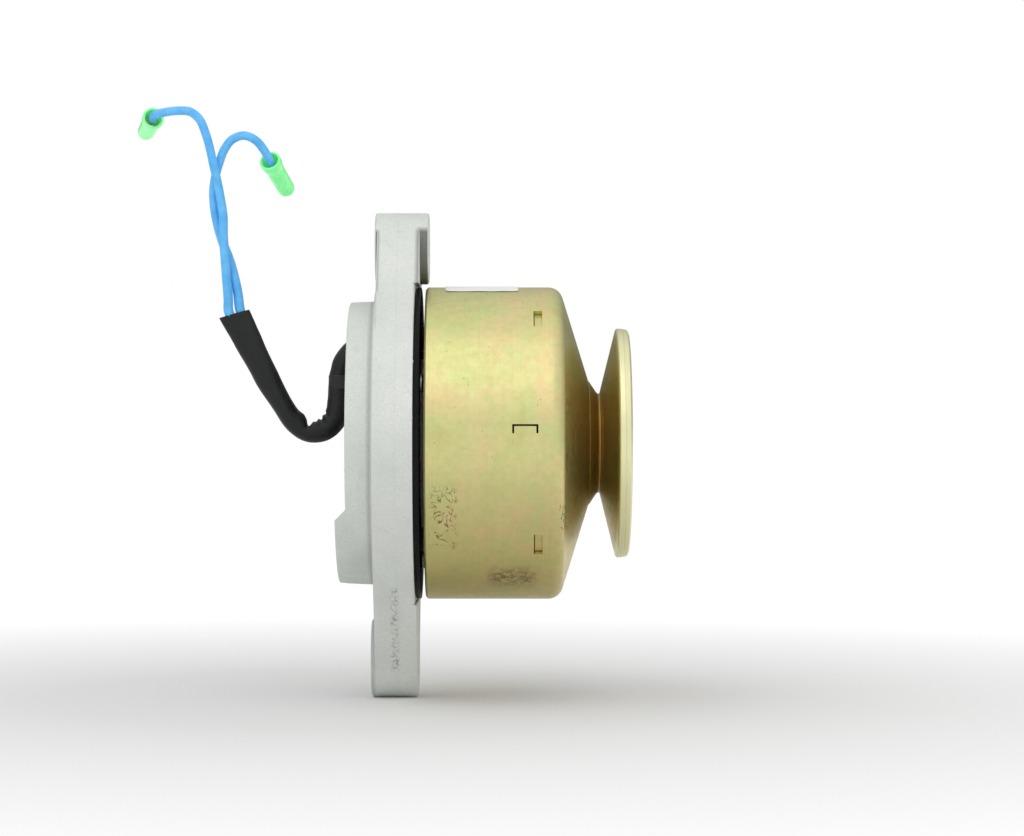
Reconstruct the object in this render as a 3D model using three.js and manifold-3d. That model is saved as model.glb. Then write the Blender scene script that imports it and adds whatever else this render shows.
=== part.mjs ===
// Permanent-magnet dynamo of a small diesel engine: an aluminium bracket carries a stator and two
// bearings, and a steel drum with magnets spins around the stator. The drum's front cone and a
// separate dished flange are the two flanks of a V-belt pulley.
//
// Millimetres. X is the shaft's axis, with +X towards the pulley. +Z is up, through the upper lug.
// The origin is on the shaft's axis, in the plane of the bracket plate's rear face.
import * as THREE from 'three';
import { mergeVertices } from 'three/addons/utils/BufferGeometryUtils.js';
import Module from 'manifold-3d';

const wasm = await Module();
wasm.setup();

// ---------------------------------------------------------------- driving dimensions

// Bracket casting
const PLATE_RADIUS = 57.5;
const PLATE_FRONT = 14.7;
const RIM_REAR = -9.5;
const RIM_RADIUS = 52.3;
const RIM_WALL = 5.3;
const FLOOR_REAR = 8.7;
const DRAFT = 0.4;
const REAR_BOSS_RADIUS = 23;
const REAR_BOSS_END = -6.5;
const FRONT_BOSS_RADIUS = 22.4;
const FRONT_BOSS_END = 48;
const STATOR_LAND_RADIUS = 31;
const RIB_COUNT = 6;
const RIB_WIDTH = 4;
const RIB_REAR = -2;
const PAD_REAR = -13.4;
const PAD_TOP = -23.4;
const PAD_INNER_RADIUS = 40;
const UPPER_LUG = { z: 71.8, radius: 13.15, rear: -0.2, front: 19.6, webRear: 0.7, webFront: 16.3,
  holeRadius: 5.25 };
const LOWER_LUG = { z: 79.3, radius: 14.2, rear: -1.6, front: 15.8, webRear: 0, webFront: 15.7,
  holeRadius: 6.25 };
const LUG_FOOT_RADIUS = 50;

// Dust plate: a pressed disc whose edge is turned back to the casting
const DUST_REAR = 15.9;
const DUST_FRONT = 16.9;
const DUST_EDGE = 14.9;
const DUST_BORE = 32;
const DUST_SCREW_CIRCLE = 43;
const DUST_SCREW_ANGLES = [30, 150, 270];

// Rotor drum
const DRUM_RADIUS = 57.5;
const DRUM_WALL = 3.2;
const DRUM_RIM_X = 18.5;
const DRUM_SHOULDER_X = 67.5;
const DRUM_CORNER = 5.5;
const CONE_ANGLE = 17.3;
const SEAM_RADIUS = 23.5;
const WEB_BORE = 11.1;
const WIDE_TAB_ANGLE = 5.5;
const NARROW_TAB_ANGLE = 51.5;
const WIDE_TAB = { from: 49.8, to: 59, width: 3.2, cut: 0.7 };
const NARROW_TAB = { from: 57.6, to: 60.7, length: 9, drop: 1.8, thick: 2.2, gap: 0.25 };

// Pulley flange
const FLANGE_RADIUS = 42.3;
const FLANK_ANGLE = 14.3;
const NECK_X = 82.2;
const NECK_RADIUS = 18;
const FLANGE_FRONT = 93;
const FLANGE_WALL = 3.7;
const NUT_RECESS_RADIUS = 14.8;
const FLANGE_WEB = 3;

// Magnets, the drum's blank label, and the stator
const MAGNET = { from: 24, to: 57.2, inner: 47.3, outer: 53.9, span: 80 };
const MAGNET_COUNT = 4;
const LABEL = { from: 25.7, to: 52.4, start: 77, end: 106 };
const POLE_COUNT = 8;
const STACK_REAR = 29;
const STACK_FRONT = 51;
const STATOR_RADIUS = 46.5;
const SHOE_RADIUS = 42.3;
const SHOE_SPAN = 35;
const YOKE_RADIUS = 32.5;
const TOOTH_WIDTH = 10;
const COIL = { from: 33.6, to: 41.9, build: 5.8 };
const STATOR_SCREW_CIRCLE = 27;

// Shaft, bearings (15 x 35 x 11 deep-groove) and fasteners
const SHAFT_RADIUS = 7.5;
const SHAFT_REAR = -5.4;
const SHAFT_END = 92.6;
const BEARING = { bore: 7.55, outer: 17.5, width: 11, pitch: 12.5, ball: 2.95, balls: 8 };
const REAR_BEARING_X = -3;
const FRONT_BEARING_X = 36;
const BEARING_SEAT = 17.6;
const BEARING_SHOULDER = 15.5;
const HUB_FLANGE_RADIUS = 20;
const HUB_SLEEVE_RADIUS = 10.8;
const RIVET_CIRCLE = 15.8;
const RIVET_COUNT = 4;
const KEY = { from: 56, to: 70, width: 4, top: 9.4, bottom: 5 };
const SHAFT_HEAD_RADIUS = 9.6;
const SPACER_RADIUS = 10;
const THREAD_RADIUS = 6;
const WASHER = { thick: 1.6, radius: 12 };
const SPRING_WASHER = { thick: 2.5, radius: 10.2 };
const NUT = { acrossFlats: 19, height: 6.9 };

// Lead: black sleeve, two blue wires and their insulated bullet sockets
const LEAD_Y = -5;
const LEAD_EXIT_Z = 38.5;
const SLEEVE_RADIUS = 4.3;
const WIRE_RADIUS = 1.6;
const GROMMET = { hole: 6.5, neck: 6.1, bore: 4.7, flange: 7.4, lip: 7 };
const CLIP = { z: 22.5, width: 5, thick: 0.8, room: 0.6, screwY: 9 };
const CLIP_CENTRE_X = -13.3;
const TERMINAL_LENGTH = 20;
const COLLAR_DEPTH = 4.6;

const GAP = 0.3;
const FINE = 36;
const MEDIUM = 24;
const SMALL = 12;
const radians = THREE.MathUtils.degToRad;

// ---------------------------------------------------------------- materials

function material(color, roughness, metalness, extra = {}) {
  return new THREE.MeshStandardMaterial({ color, roughness, metalness, ...extra });
}

const CAST_ALUMINIUM = material(0xc6ccc6, 0.7, 0.6);
const BLACK_STEEL = material(0x17191a, 0.5, 0.4);
const CHROMATED_STEEL = material(0xcbbf7a, 0.35, 0.9);
const BRIGHT_STEEL = material(0xb9bcbf, 0.3, 1);
const ZINC_STEEL = material(0xd2d3d0, 0.35, 1);
const FERRITE = material(0x33343a, 0.8, 0.1);
const LAMINATION = material(0x6d7073, 0.5, 0.8);
const COPPER = material(0xa3532a, 0.35, 0.7);
const BRASS = material(0xc9a24d, 0.35, 1);
const RUBBER = material(0x1a1b1b, 0.8, 0);
const BLACK_VINYL = material(0x222524, 0.55, 0);
const BLUE_VINYL = material(0x58b4ff, 0.45, 0);
const GREEN_VINYL = material(0x5fe87c, 0.3, 0, { transparent: true, opacity: 0.6 });
const WHITE_PAPER = material(0xf4f4f2, 0.7, 0);

// ---------------------------------------------------------------- solids

// Turns a closed geometry into a manifold solid, with shared corners and no zero-area faces.
function solid(geometry) {
  const bare = new THREE.BufferGeometry();
  bare.setAttribute('position', geometry.getAttribute('position'));
  if (geometry.index) bare.setIndex(geometry.index);
  const merged = mergeVertices(bare, 1e-4);
  const corners = merged.index.array;
  const kept = [];
  for (let i = 0; i < corners.length; i += 3) {
    const [a, b, c] = corners.slice(i, i + 3);
    if (a !== b && b !== c && c !== a) kept.push(a, b, c);
  }
  const vertProperties = new Float32Array(merged.getAttribute('position').array);
  const triVerts = new Uint32Array(kept);
  return new wasm.Manifold(new wasm.Mesh({ numProp: 3, vertProperties, triVerts }));
}

function geometryOf(body) {
  const mesh = body.getMesh();
  const geometry = new THREE.BufferGeometry();
  geometry.setAttribute('position', new THREE.BufferAttribute(new Float32Array(mesh.vertProperties), 3));
  geometry.setIndex(new THREE.BufferAttribute(new Uint32Array(mesh.triVerts), 1));
  return geometry;
}

function union(...bodies) {
  return bodies.reduce((whole, body) => whole.add(body));
}

function cut(body, ...tools) {
  return tools.reduce((rest, tool) => rest.subtract(tool), body);
}

// Sends a shape's own x, y and z to Y, Z and X, exactly.
const SECTION_TO_X = new THREE.Matrix4().set(0, 0, 1, 0, 1, 0, 0, 0, 0, 1, 0, 0, 0, 0, 0, 1);
// Sends a lathe's own axis y to X, exactly.
const LATHE_TO_X = new THREE.Matrix4().set(0, 1, 0, 0, 0, 0, 1, 0, 1, 0, 0, 0, 0, 0, 0, 1);

// A solid of revolution about X. The profile is a list of [x, radius]. It runs outwards at its
// rear, forwards on its outside and back on its inside, and closes on itself off the axis.
function turned(profile, segments = FINE) {
  const points = profile.map(([x, radius]) => new THREE.Vector2(radius, x));
  const onAxis = profile[0][1] === 0 && profile.at(-1)[1] === 0;
  if (!onAxis) points.push(points[0].clone());
  return new THREE.LatheGeometry(points, segments).applyMatrix4(LATHE_TO_X);
}

function rod(from, to, radius, segments = SMALL) {
  return turned([[from, 0], [from, radius], [to, radius], [to, 0]], segments);
}

// An outline of [y, z] points, with optional holes, pushed along X.
function prism(outline, from, to, holes = []) {
  const shape = new THREE.Shape(outline.map(([y, z]) => new THREE.Vector2(y, z)));
  for (const hole of holes) {
    shape.holes.push(new THREE.Path(hole.map(([y, z]) => new THREE.Vector2(y, z))));
  }
  const geometry = new THREE.ExtrudeGeometry(shape, { depth: to - from, bevelEnabled: false });
  return geometry.applyMatrix4(SECTION_TO_X).translate(from, 0, 0);
}

function box(low, high) {
  const size = high.map((value, i) => value - low[i]);
  const middle = high.map((value, i) => (value + low[i]) / 2);
  return new THREE.BoxGeometry(...size).translate(...middle);
}

function arc(centre, radius, from, to, steps) {
  const points = [];
  for (let i = 0; i <= steps; i += 1) {
    const angle = radians(from + (to - from) * i / steps);
    points.push([centre[0] + radius * Math.cos(angle), centre[1] + radius * Math.sin(angle)]);
  }
  return points;
}

function circle(centre, radius, steps) {
  return arc(centre, radius, 0, 360, steps).slice(0, -1);
}

// The angle is measured in the YZ plane from +Y towards +Z.
function turnedBy(geometry, degrees) {
  return geometry.rotateX(radians(degrees));
}

function polar(radius, degrees) {
  return [radius * Math.cos(radians(degrees)), radius * Math.sin(radians(degrees))];
}

// A tube along a smooth curve through the points, with flat ends.
function tube(points, radius, sides, steps) {
  const path = new THREE.CatmullRomCurve3(points.map((point) => new THREE.Vector3(...point)));
  const section = circle([0, 0], radius, sides).map(([x, y]) => new THREE.Vector2(x, y));
  return new THREE.ExtrudeGeometry(new THREE.Shape(section), { steps, extrudePath: path });
}

// ---------------------------------------------------------------- assembly

const dynamo = new THREE.Group();
dynamo.name = 'dynamo';

// A part is a geometry or a manifold solid.
function add(name, part, look) {
  const geometry = geometryOf(part.isBufferGeometry ? solid(part) : part);
  const mesh = new THREE.Mesh(geometry, look);
  mesh.name = name;
  dynamo.add(mesh);
}

// ---------------------------------------------------------------- bracket casting

// The flanks touch a lug's round end and a circle just inside the plate's edge.
const FLANK_CIRCLE = PLATE_RADIUS - 0.3;

function flankAngle({ z, radius }) {
  return THREE.MathUtils.radToDeg(Math.asin((FLANK_CIRCLE - radius) / z));
}

// A lug that points up: its round end, and straight flanks that spread to the plate's edge.
function lugOutline(lug) {
  const lean = flankAngle(lug);
  return [
    ...arc([0, 0], LUG_FOOT_RADIUS, 180 - lean, lean, 10),
    polar(FLANK_CIRCLE, lean),
    ...arc([0, lug.z], lug.radius, lean, 180 - lean, 9),
    polar(FLANK_CIRCLE, 180 - lean),
  ];
}

// The part of a lug beyond the dust plate, which can stand proud of the plate's face.
function raisedOutline(lug) {
  const lean = flankAngle(lug);
  const bottom = DRUM_RADIUS + 0.6;
  const angle = THREE.MathUtils.degToRad(lean);
  const reach = (FLANK_CIRCLE - bottom * Math.sin(angle)) / Math.cos(angle);
  return [[-reach, bottom], [reach, bottom], ...arc([0, lug.z], lug.radius, lean, 180 - lean, 9)];
}

function mirrored(outline) {
  return outline.map(([y, z]) => [-y, -z]);
}

function castingBody() {
  return solid(turned([
    [REAR_BOSS_END, BEARING_SEAT],
    [REAR_BOSS_END, REAR_BOSS_RADIUS],
    [FLOOR_REAR, REAR_BOSS_RADIUS + DRAFT],
    [FLOOR_REAR, RIM_RADIUS - RIM_WALL - DRAFT],
    [RIM_REAR, RIM_RADIUS - RIM_WALL],
    [RIM_REAR, RIM_RADIUS - DRAFT],
    [0, RIM_RADIUS],
    [0, PLATE_RADIUS],
    [PLATE_FRONT, PLATE_RADIUS],
    [PLATE_FRONT, STATOR_LAND_RADIUS],
    [STACK_REAR, STATOR_LAND_RADIUS],
    [STACK_REAR, FRONT_BOSS_RADIUS],
    [FRONT_BOSS_END, FRONT_BOSS_RADIUS],
    [FRONT_BOSS_END, BEARING_SEAT],
    [FRONT_BEARING_X, BEARING_SEAT],
    [FRONT_BEARING_X, BEARING_SHOULDER],
    [REAR_BEARING_X + BEARING.width, BEARING_SHOULDER],
    [REAR_BEARING_X + BEARING.width, BEARING_SEAT],
    [REAR_BEARING_X - 0.3, BEARING_SEAT],
    [REAR_BEARING_X - 0.3, BEARING_SEAT + 1],
    [REAR_BEARING_X - 1.7, BEARING_SEAT + 1],
    [REAR_BEARING_X - 1.7, BEARING_SEAT],
  ]));
}

function lugBody(lug, outline) {
  return union(
    solid(prism(outline(lugOutline(lug)), lug.webRear, PLATE_FRONT)),
    solid(prism(outline(raisedOutline(lug)), PLATE_FRONT - 1, lug.webFront)),
    solid(prism(outline(circle([0, lug.z], lug.radius, 18)), lug.rear, lug.front)),
  );
}

function upperLug() {
  return lugBody(UPPER_LUG, (outline) => outline);
}

function lowerLug() {
  return lugBody(LOWER_LUG, mirrored);
}

// The thick lower part of the rear rim, which stands proud and has a sloping upper end.
function rearPad() {
  const ring = solid(turned([
    [PAD_REAR, PAD_INNER_RADIUS],
    [PAD_REAR, RIM_RADIUS - 2 * DRAFT],
    [RIM_REAR, RIM_RADIUS - DRAFT],
    [FLOOR_REAR + 1, RIM_RADIUS - DRAFT],
    [FLOOR_REAR + 1, PAD_INNER_RADIUS],
  ]));
  const rise = RIM_REAR - PAD_REAR;
  const side = [
    [PAD_REAR - 1, PAD_TOP - rise - 1],
    [RIM_REAR, PAD_TOP],
    [FLOOR_REAR + 2, PAD_TOP],
    [FLOOR_REAR + 2, -70],
    [PAD_REAR - 1, -70],
  ];
  const shape = new THREE.Shape(side.map(([x, z]) => new THREE.Vector2(x, z)));
  const wedge = new THREE.ExtrudeGeometry(shape, { depth: 140, bevelEnabled: false });
  return ring.intersect(solid(wedge.rotateX(Math.PI / 2).translate(0, 70, 0)));
}

function rearRibs() {
  const ribs = [];
  for (let i = 0; i < RIB_COUNT; i += 1) {
    const rib = box([RIB_REAR, 21, -RIB_WIDTH / 2], [FLOOR_REAR + 1, RIM_RADIUS - 4, RIB_WIDTH / 2]);
    ribs.push(solid(turnedBy(rib, i * 360 / RIB_COUNT)));
  }
  return ribs;
}

function bracketCasting() {
  const padFeet = DUST_SCREW_ANGLES.map((angle) => (
    solid(prism(circle(polar(DUST_SCREW_CIRCLE, angle), 5, 12), PLATE_FRONT - 1, DUST_REAR))));
  const clipPost = solid(prism(circle([CLIP.screwY, CLIP.z], 4.5, 12), clipFoot(), FLOOR_REAR + 1));
  const whole = union(castingBody(), upperLug(), lowerLug(), rearPad(), ...rearRibs(), ...padFeet, clipPost);
  const stator = statorScrewAngles().map((angle) => (
    solid(prism(circle(polar(STATOR_SCREW_CIRCLE, angle), 2.7, 10), 17, STACK_REAR + 1))));
  const dust = DUST_SCREW_ANGLES.map((angle) => (
    solid(prism(circle(polar(DUST_SCREW_CIRCLE, angle), 2.1, 10), 9.8, DUST_REAR + 1))));
  return cut(
    whole,
    ...stator,
    ...dust,
    solid(rod(REAR_BOSS_END - 1, FRONT_BOSS_END + 1, BEARING_SHOULDER, FINE)),
    solid(prism(circle([0, UPPER_LUG.z], UPPER_LUG.holeRadius, 12), -5, 25)),
    solid(prism(circle([0, -LOWER_LUG.z], LOWER_LUG.holeRadius, 12), -5, 25)),
    solid(prism(circle([LEAD_Y, LEAD_EXIT_Z], GROMMET.hole, 12), FLOOR_REAR - 5, PLATE_FRONT + 1)),
    solid(prism(circle([CLIP.screwY, CLIP.z], 1.9, 10), clipFoot() - 1, clipFoot() + 11)),
  );
}

// ---------------------------------------------------------------- dust plate

function dustPlate() {
  const disc = solid(turned([
    [DUST_REAR, DUST_BORE],
    [DUST_REAR, PLATE_RADIUS - 1.1],
    [DUST_EDGE, PLATE_RADIUS - 1.1],
    [DUST_EDGE, PLATE_RADIUS - 0.5],
    [DUST_EDGE + 0.5, PLATE_RADIUS],
    [DUST_FRONT, PLATE_RADIUS],
    [DUST_FRONT, DUST_BORE],
  ]));
  const holes = DUST_SCREW_ANGLES.map((angle) => (
    solid(prism(circle(polar(DUST_SCREW_CIRCLE, angle), 2.3, 10), DUST_REAR - 1, DUST_FRONT + 1))));
  return cut(
    disc,
    ...holes,
    solid(prism(circle([LEAD_Y, LEAD_EXIT_Z], GROMMET.bore + 0.6, 12), DUST_REAR - 1, DUST_FRONT + 1)),
  );
}

// ---------------------------------------------------------------- fasteners

// A screw that points to -X, with its seat under the head at x = 0.
function panScrew(radius, length, headRadius, headHeight) {
  return turned([
    [-length, 0],
    [-length, radius - 0.4],
    [-length + 0.6, radius],
    [0, radius],
    [0, headRadius],
    [headHeight * 0.6, headRadius],
    [headHeight, headRadius * 0.55],
    [headHeight * 0.7, 0],
  ], 8);
}

function placed(geometry, x, [y, z]) {
  return geometry.translate(x, y, z);
}

function statorScrewAngles() {
  return [0, 1, 2, 3].map((i) => 22.5 + 90 * i);
}

// ---------------------------------------------------------------- stator

function statorOutline() {
  const points = [];
  const pitch = 360 / POLE_COUNT;
  const neckAt = THREE.MathUtils.radToDeg(Math.asin(TOOTH_WIDTH / 2 / YOKE_RADIUS));
  const shoeAt = THREE.MathUtils.radToDeg(Math.asin(TOOTH_WIDTH / 2 / SHOE_RADIUS));
  for (let i = 0; i < POLE_COUNT; i += 1) {
    const middle = i * pitch;
    points.push(
      polar(YOKE_RADIUS, middle - neckAt),
      polar(SHOE_RADIUS, middle - shoeAt),
      polar(SHOE_RADIUS + 1.6, middle - SHOE_SPAN / 2),
      ...arc([0, 0], STATOR_RADIUS, middle - SHOE_SPAN / 2, middle + SHOE_SPAN / 2, 3),
      polar(SHOE_RADIUS + 1.6, middle + SHOE_SPAN / 2),
      polar(SHOE_RADIUS, middle + shoeAt),
      polar(YOKE_RADIUS, middle + neckAt),
      polar(YOKE_RADIUS, middle + pitch / 2),
    );
  }
  return points;
}

function statorCore() {
  const holes = statorScrewAngles().map((angle) => circle(polar(STATOR_SCREW_CIRCLE, angle), 2.8, 8));
  const bore = circle([0, 0], FRONT_BOSS_RADIUS + GAP, FINE);
  return prism(statorOutline(), STACK_REAR, STACK_FRONT, [bore, ...holes]);
}

function roundedRectangle(halfX, halfY, radius, steps) {
  return [
    ...arc([halfX - radius, halfY - radius], radius, 0, 90, steps),
    ...arc([radius - halfX, halfY - radius], radius, 90, 180, steps),
    ...arc([radius - halfX, radius - halfY], radius, 180, 270, steps),
    ...arc([halfX - radius, radius - halfY], radius, 270, 360, steps),
  ];
}

// One winding round the pole that points to +Z; its hole is wider than the pole by the insulation.
function coil() {
  const innerAxial = (STACK_FRONT - STACK_REAR) / 2 + GAP;
  const innerAcross = TOOTH_WIDTH / 2 + GAP;
  const outer = roundedRectangle(innerAxial + COIL.build, innerAcross + COIL.build, 4.5, 3);
  const shape = new THREE.Shape(outer.map(([x, y]) => new THREE.Vector2(x, y)));
  const hole = [[1, 1], [-1, 1], [-1, -1], [1, -1]].map(([x, y]) => [x * innerAxial, y * innerAcross]);
  shape.holes.push(new THREE.Path(hole.map(([x, y]) => new THREE.Vector2(x, y))));
  const geometry = new THREE.ExtrudeGeometry(shape, { depth: COIL.to - COIL.from, bevelEnabled: false });
  return geometry.translate((STACK_REAR + STACK_FRONT) / 2, 0, COIL.from);
}

// ---------------------------------------------------------------- rotor

const coneSlope = Math.tan(radians(CONE_ANGLE));

function coneX(radius) {
  return DRUM_SHOULDER_X + (DRUM_RADIUS - radius) * coneSlope;
}

// The outside of the drum, or a surface a depth inside it, from the rim to the end of the cone.
function drumSurface(depth, steps) {
  const radius = DRUM_RADIUS - depth;
  const corner = DRUM_CORNER - depth;
  const shoulder = coneX(radius) - depth / Math.cos(radians(CONE_ANGLE));
  const centreX = shoulder - corner * Math.tan(radians((90 - CONE_ANGLE) / 2));
  return arc([centreX, radius - corner], corner, 90, CONE_ANGLE, steps);
}

const WEB_FRONT = coneX(SEAM_RADIUS);
const WEB_REAR = WEB_FRONT - DRUM_WALL;

function drumShell() {
  const chamfer = 0.8;
  const innerRadius = DRUM_RADIUS - DRUM_WALL;
  const innerSeam = DRUM_RADIUS
    - (WEB_REAR + DRUM_WALL / Math.cos(radians(CONE_ANGLE)) - DRUM_SHOULDER_X) / coneSlope;
  return solid(turned([
    [DRUM_RIM_X, innerRadius],
    [DRUM_RIM_X, DRUM_RADIUS - chamfer],
    [DRUM_RIM_X + chamfer, DRUM_RADIUS],
    ...drumSurface(0, 4),
    [WEB_FRONT, SEAM_RADIUS],
    [WEB_FRONT, WEB_BORE],
    [WEB_REAR, WEB_BORE],
    [WEB_REAR, innerSeam],
    ...drumSurface(DRUM_WALL, 2).reverse(),
  ]));
}

// Cuts a three-sided slit that leaves a tongue in the wall, between two magnets.
function wideTabCutter() {
  const { from, to, width, cut: slit } = WIDE_TAB;
  const low = DRUM_RADIUS - DRUM_WALL - 1;
  const high = DRUM_RADIUS + 1;
  return union(
    solid(box([from, low, -width / 2], [to, high, slit - width / 2])),
    solid(box([from, low, -width / 2], [from + slit, high, width / 2])),
    solid(box([to - slit, low, -width / 2], [to, high, width / 2])),
  );
}

// Cuts a window for a tongue that is pressed in as an end stop for a magnet.
function narrowTabCutter() {
  const { from, to, length } = NARROW_TAB;
  const low = DRUM_RADIUS - DRUM_WALL - 1;
  return solid(box([from, low, -length / 2], [to, DRUM_RADIUS + 1, length / 2]));
}

// The tongue stays joined to the wall along its front edge.
function narrowTab() {
  const { from, to, length, drop, thick, gap } = NARROW_TAB;
  const top = DRUM_RADIUS - drop;
  return solid(box([from + gap, top - thick, gap - length / 2], [to + 0.5, top, length / 2 - gap]));
}

// The rotor's own angles run from -Y, where the drum faces sideways, towards +Z.
function rotorAngle(degrees) {
  return 180 - degrees;
}

function rotorDrum() {
  let drum = drumShell();
  for (let i = 0; i < MAGNET_COUNT; i += 1) {
    const wide = wideTabCutter().rotate([rotorAngle(WIDE_TAB_ANGLE + i * 90), 0, 0]);
    const narrow = rotorAngle(NARROW_TAB_ANGLE + i * 90);
    drum = cut(drum, wide, narrowTabCutter().rotate([narrow, 0, 0]));
    drum = drum.add(narrowTab().rotate([narrow, 0, 0]));
    drum = drum.subtract(solid(turnedBy(rivetHole(), rivetAngle(i))));
  }
  return drum;
}

function magnet() {
  const half = MAGNET.span / 2;
  const outline = [
    ...arc([0, 0], MAGNET.outer, -half, half, 8),
    ...arc([0, 0], MAGNET.inner, half, -half, 8),
  ];
  return prism(outline, MAGNET.from, MAGNET.to);
}

function drumLabel() {
  const outline = [
    ...arc([0, 0], DRUM_RADIUS + 0.35, LABEL.start, LABEL.end, 6),
    ...arc([0, 0], DRUM_RADIUS + 0.2, LABEL.end, LABEL.start, 6),
  ];
  return prism(outline, LABEL.from, LABEL.to);
}

function pulleyFlange() {
  const flank = Math.tan(radians(FLANK_ANGLE));
  const flankX = (radius) => NECK_X + (radius - NECK_RADIUS) * flank;
  return turned([
    [WEB_FRONT, WEB_BORE],
    [WEB_FRONT, SEAM_RADIUS],
    [NECK_X - 0.6, NECK_RADIUS + 0.4],
    [NECK_X + 0.2, NECK_RADIUS + 0.2],
    [flankX(FLANGE_RADIUS - 0.7), FLANGE_RADIUS - 0.7],
    [flankX(FLANGE_RADIUS) + 0.4, FLANGE_RADIUS],
    [FLANGE_FRONT - 0.8, FLANGE_RADIUS - 0.6],
    [FLANGE_FRONT, FLANGE_RADIUS - 1.6],
    [FLANGE_FRONT, FLANGE_RADIUS - 2.8],
    [flankX(FLANGE_RADIUS - 5) + FLANGE_WALL, FLANGE_RADIUS - 5],
    [flankX(19) + FLANGE_WALL, 19],
    [flankX(16) + FLANGE_WALL - 0.8, NUT_RECESS_RADIUS],
    [WEB_FRONT + FLANGE_WEB, NUT_RECESS_RADIUS],
    [WEB_FRONT + FLANGE_WEB, WEB_BORE],
  ]);
}

function rivetAngle(i) {
  return 45 + i * 360 / RIVET_COUNT;
}

const HUB_FLANGE_REAR = WEB_REAR - 4;

// Countersunk at the front, with a domed head behind the hub's flange.
function rivet() {
  const front = WEB_FRONT - 0.1;
  return turned([
    [HUB_FLANGE_REAR - 2.2, 0],
    [HUB_FLANGE_REAR - 1.4, 3],
    [HUB_FLANGE_REAR, 4],
    [HUB_FLANGE_REAR, 2.4],
    [front - 1.6, 2.4],
    [front, 4],
    [front, 0],
  ], 10).translate(0, RIVET_CIRCLE, 0);
}

function rivetHole() {
  return turned([
    [HUB_FLANGE_REAR - 1, 0],
    [HUB_FLANGE_REAR - 1, 2.7],
    [WEB_FRONT - 1.75, 2.7],
    [WEB_FRONT + 0.15, 4.6],
    [WEB_FRONT + 1, 4.6],
    [WEB_FRONT + 1, 0],
  ], 10).translate(0, RIVET_CIRCLE, 0);
}

function shaftKey(clearance) {
  const { from, to, width, top, bottom } = KEY;
  const half = width / 2 + clearance;
  return box([from - clearance, -half, bottom - clearance], [to + clearance, half, top + clearance]);
}

function keySlot() {
  return solid(shaftKey(0.1));
}

function rotorHub() {
  const rear = FRONT_BEARING_X + BEARING.width;
  const bore = SHAFT_RADIUS + 0.1;
  let hub = solid(turned([
    [rear, bore],
    [rear, HUB_SLEEVE_RADIUS],
    [HUB_FLANGE_REAR, HUB_SLEEVE_RADIUS + 1],
    [HUB_FLANGE_REAR, HUB_FLANGE_RADIUS],
    [WEB_REAR, HUB_FLANGE_RADIUS],
    [WEB_REAR, WEB_BORE - 0.1],
    [WEB_FRONT + FLANGE_WEB - 0.4, WEB_BORE - 0.1],
    [WEB_FRONT + FLANGE_WEB - 0.4, bore],
  ], MEDIUM));
  for (let i = 0; i < RIVET_COUNT; i += 1) {
    hub = hub.subtract(solid(turnedBy(rivetHole(), rivetAngle(i))));
  }
  return hub.subtract(keySlot());
}

function rotorShaft() {
  const head = SHAFT_HEAD_RADIUS;
  const thread = WEB_FRONT + FLANGE_WEB - 1;
  return solid(turned([
    [SHAFT_REAR, 0],
    [SHAFT_REAR, head - 0.5],
    [SHAFT_REAR + 0.5, head],
    [REAR_BEARING_X, head],
    [REAR_BEARING_X, SHAFT_RADIUS],
    [thread, SHAFT_RADIUS],
    [thread, THREAD_RADIUS],
    [SHAFT_END - 0.8, THREAD_RADIUS],
    [SHAFT_END, THREAD_RADIUS - 0.8],
    [SHAFT_END, 0],
  ], 20)).subtract(keySlot());
}

const WASHER_X = WEB_FRONT + FLANGE_WEB;
const SPRING_X = WASHER_X + WASHER.thick;
const NUT_X = SPRING_X + SPRING_WASHER.thick;
const NUT_END = NUT_X + NUT.height;

function ring(from, to, inner, outer, segments = 20) {
  return turned([[from, inner], [from, outer], [to, outer], [to, inner]], segments);
}

// Split at the top by a slanting slit.
function springWasher() {
  const whole = solid(ring(SPRING_X, NUT_X, THREAD_RADIUS + 0.2, SPRING_WASHER.radius));
  const slit = box([-3, -0.6, 5], [3, 0.6, 12]).rotateZ(radians(25));
  return whole.subtract(solid(slit.translate((SPRING_X + NUT_X) / 2, 0, 0)));
}

// A hexagon with turned-off corners.
function pulleyNut() {
  const corner = NUT.acrossFlats / 2 / Math.cos(radians(30));
  const hexagon = solid(prism(circle([0, 0], corner, 6), NUT_X, NUT_END));
  const dome = solid(turned([
    [NUT_X, 0],
    [NUT_X, corner - 1],
    [NUT_X + 0.8, corner + 0.2],
    [NUT_END - 0.8, corner + 0.2],
    [NUT_END, corner - 1.3],
    [NUT_END, 0],
  ], MEDIUM));
  const bore = solid(rod(NUT_X - 1, NUT_END + 1, THREAD_RADIUS + 0.1, MEDIUM));
  return hexagon.intersect(dome).subtract(bore);
}

// ---------------------------------------------------------------- bearings

function outerRing(x) {
  const { outer, width, pitch, ball } = BEARING;
  const land = pitch + ball * 0.75;
  const groove = pitch + ball + 0.35;
  const middle = x + width / 2;
  return turned([
    [x, land],
    [x, outer],
    [x + width, outer],
    [x + width, land],
    [middle + 2.6, land],
    [middle + 1.3, groove],
    [middle - 1.3, groove],
    [middle - 2.6, land],
  ], MEDIUM);
}

function innerRing(x) {
  const { bore, width, pitch, ball } = BEARING;
  const land = pitch - ball * 0.75;
  const groove = pitch - ball - 0.35;
  const middle = x + width / 2;
  return turned([
    [x, bore],
    [x, land],
    [middle - 2.6, land],
    [middle - 1.3, groove],
    [middle + 1.3, groove],
    [middle + 2.6, land],
    [x + width, land],
    [x + width, bore],
  ], 20);
}

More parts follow.
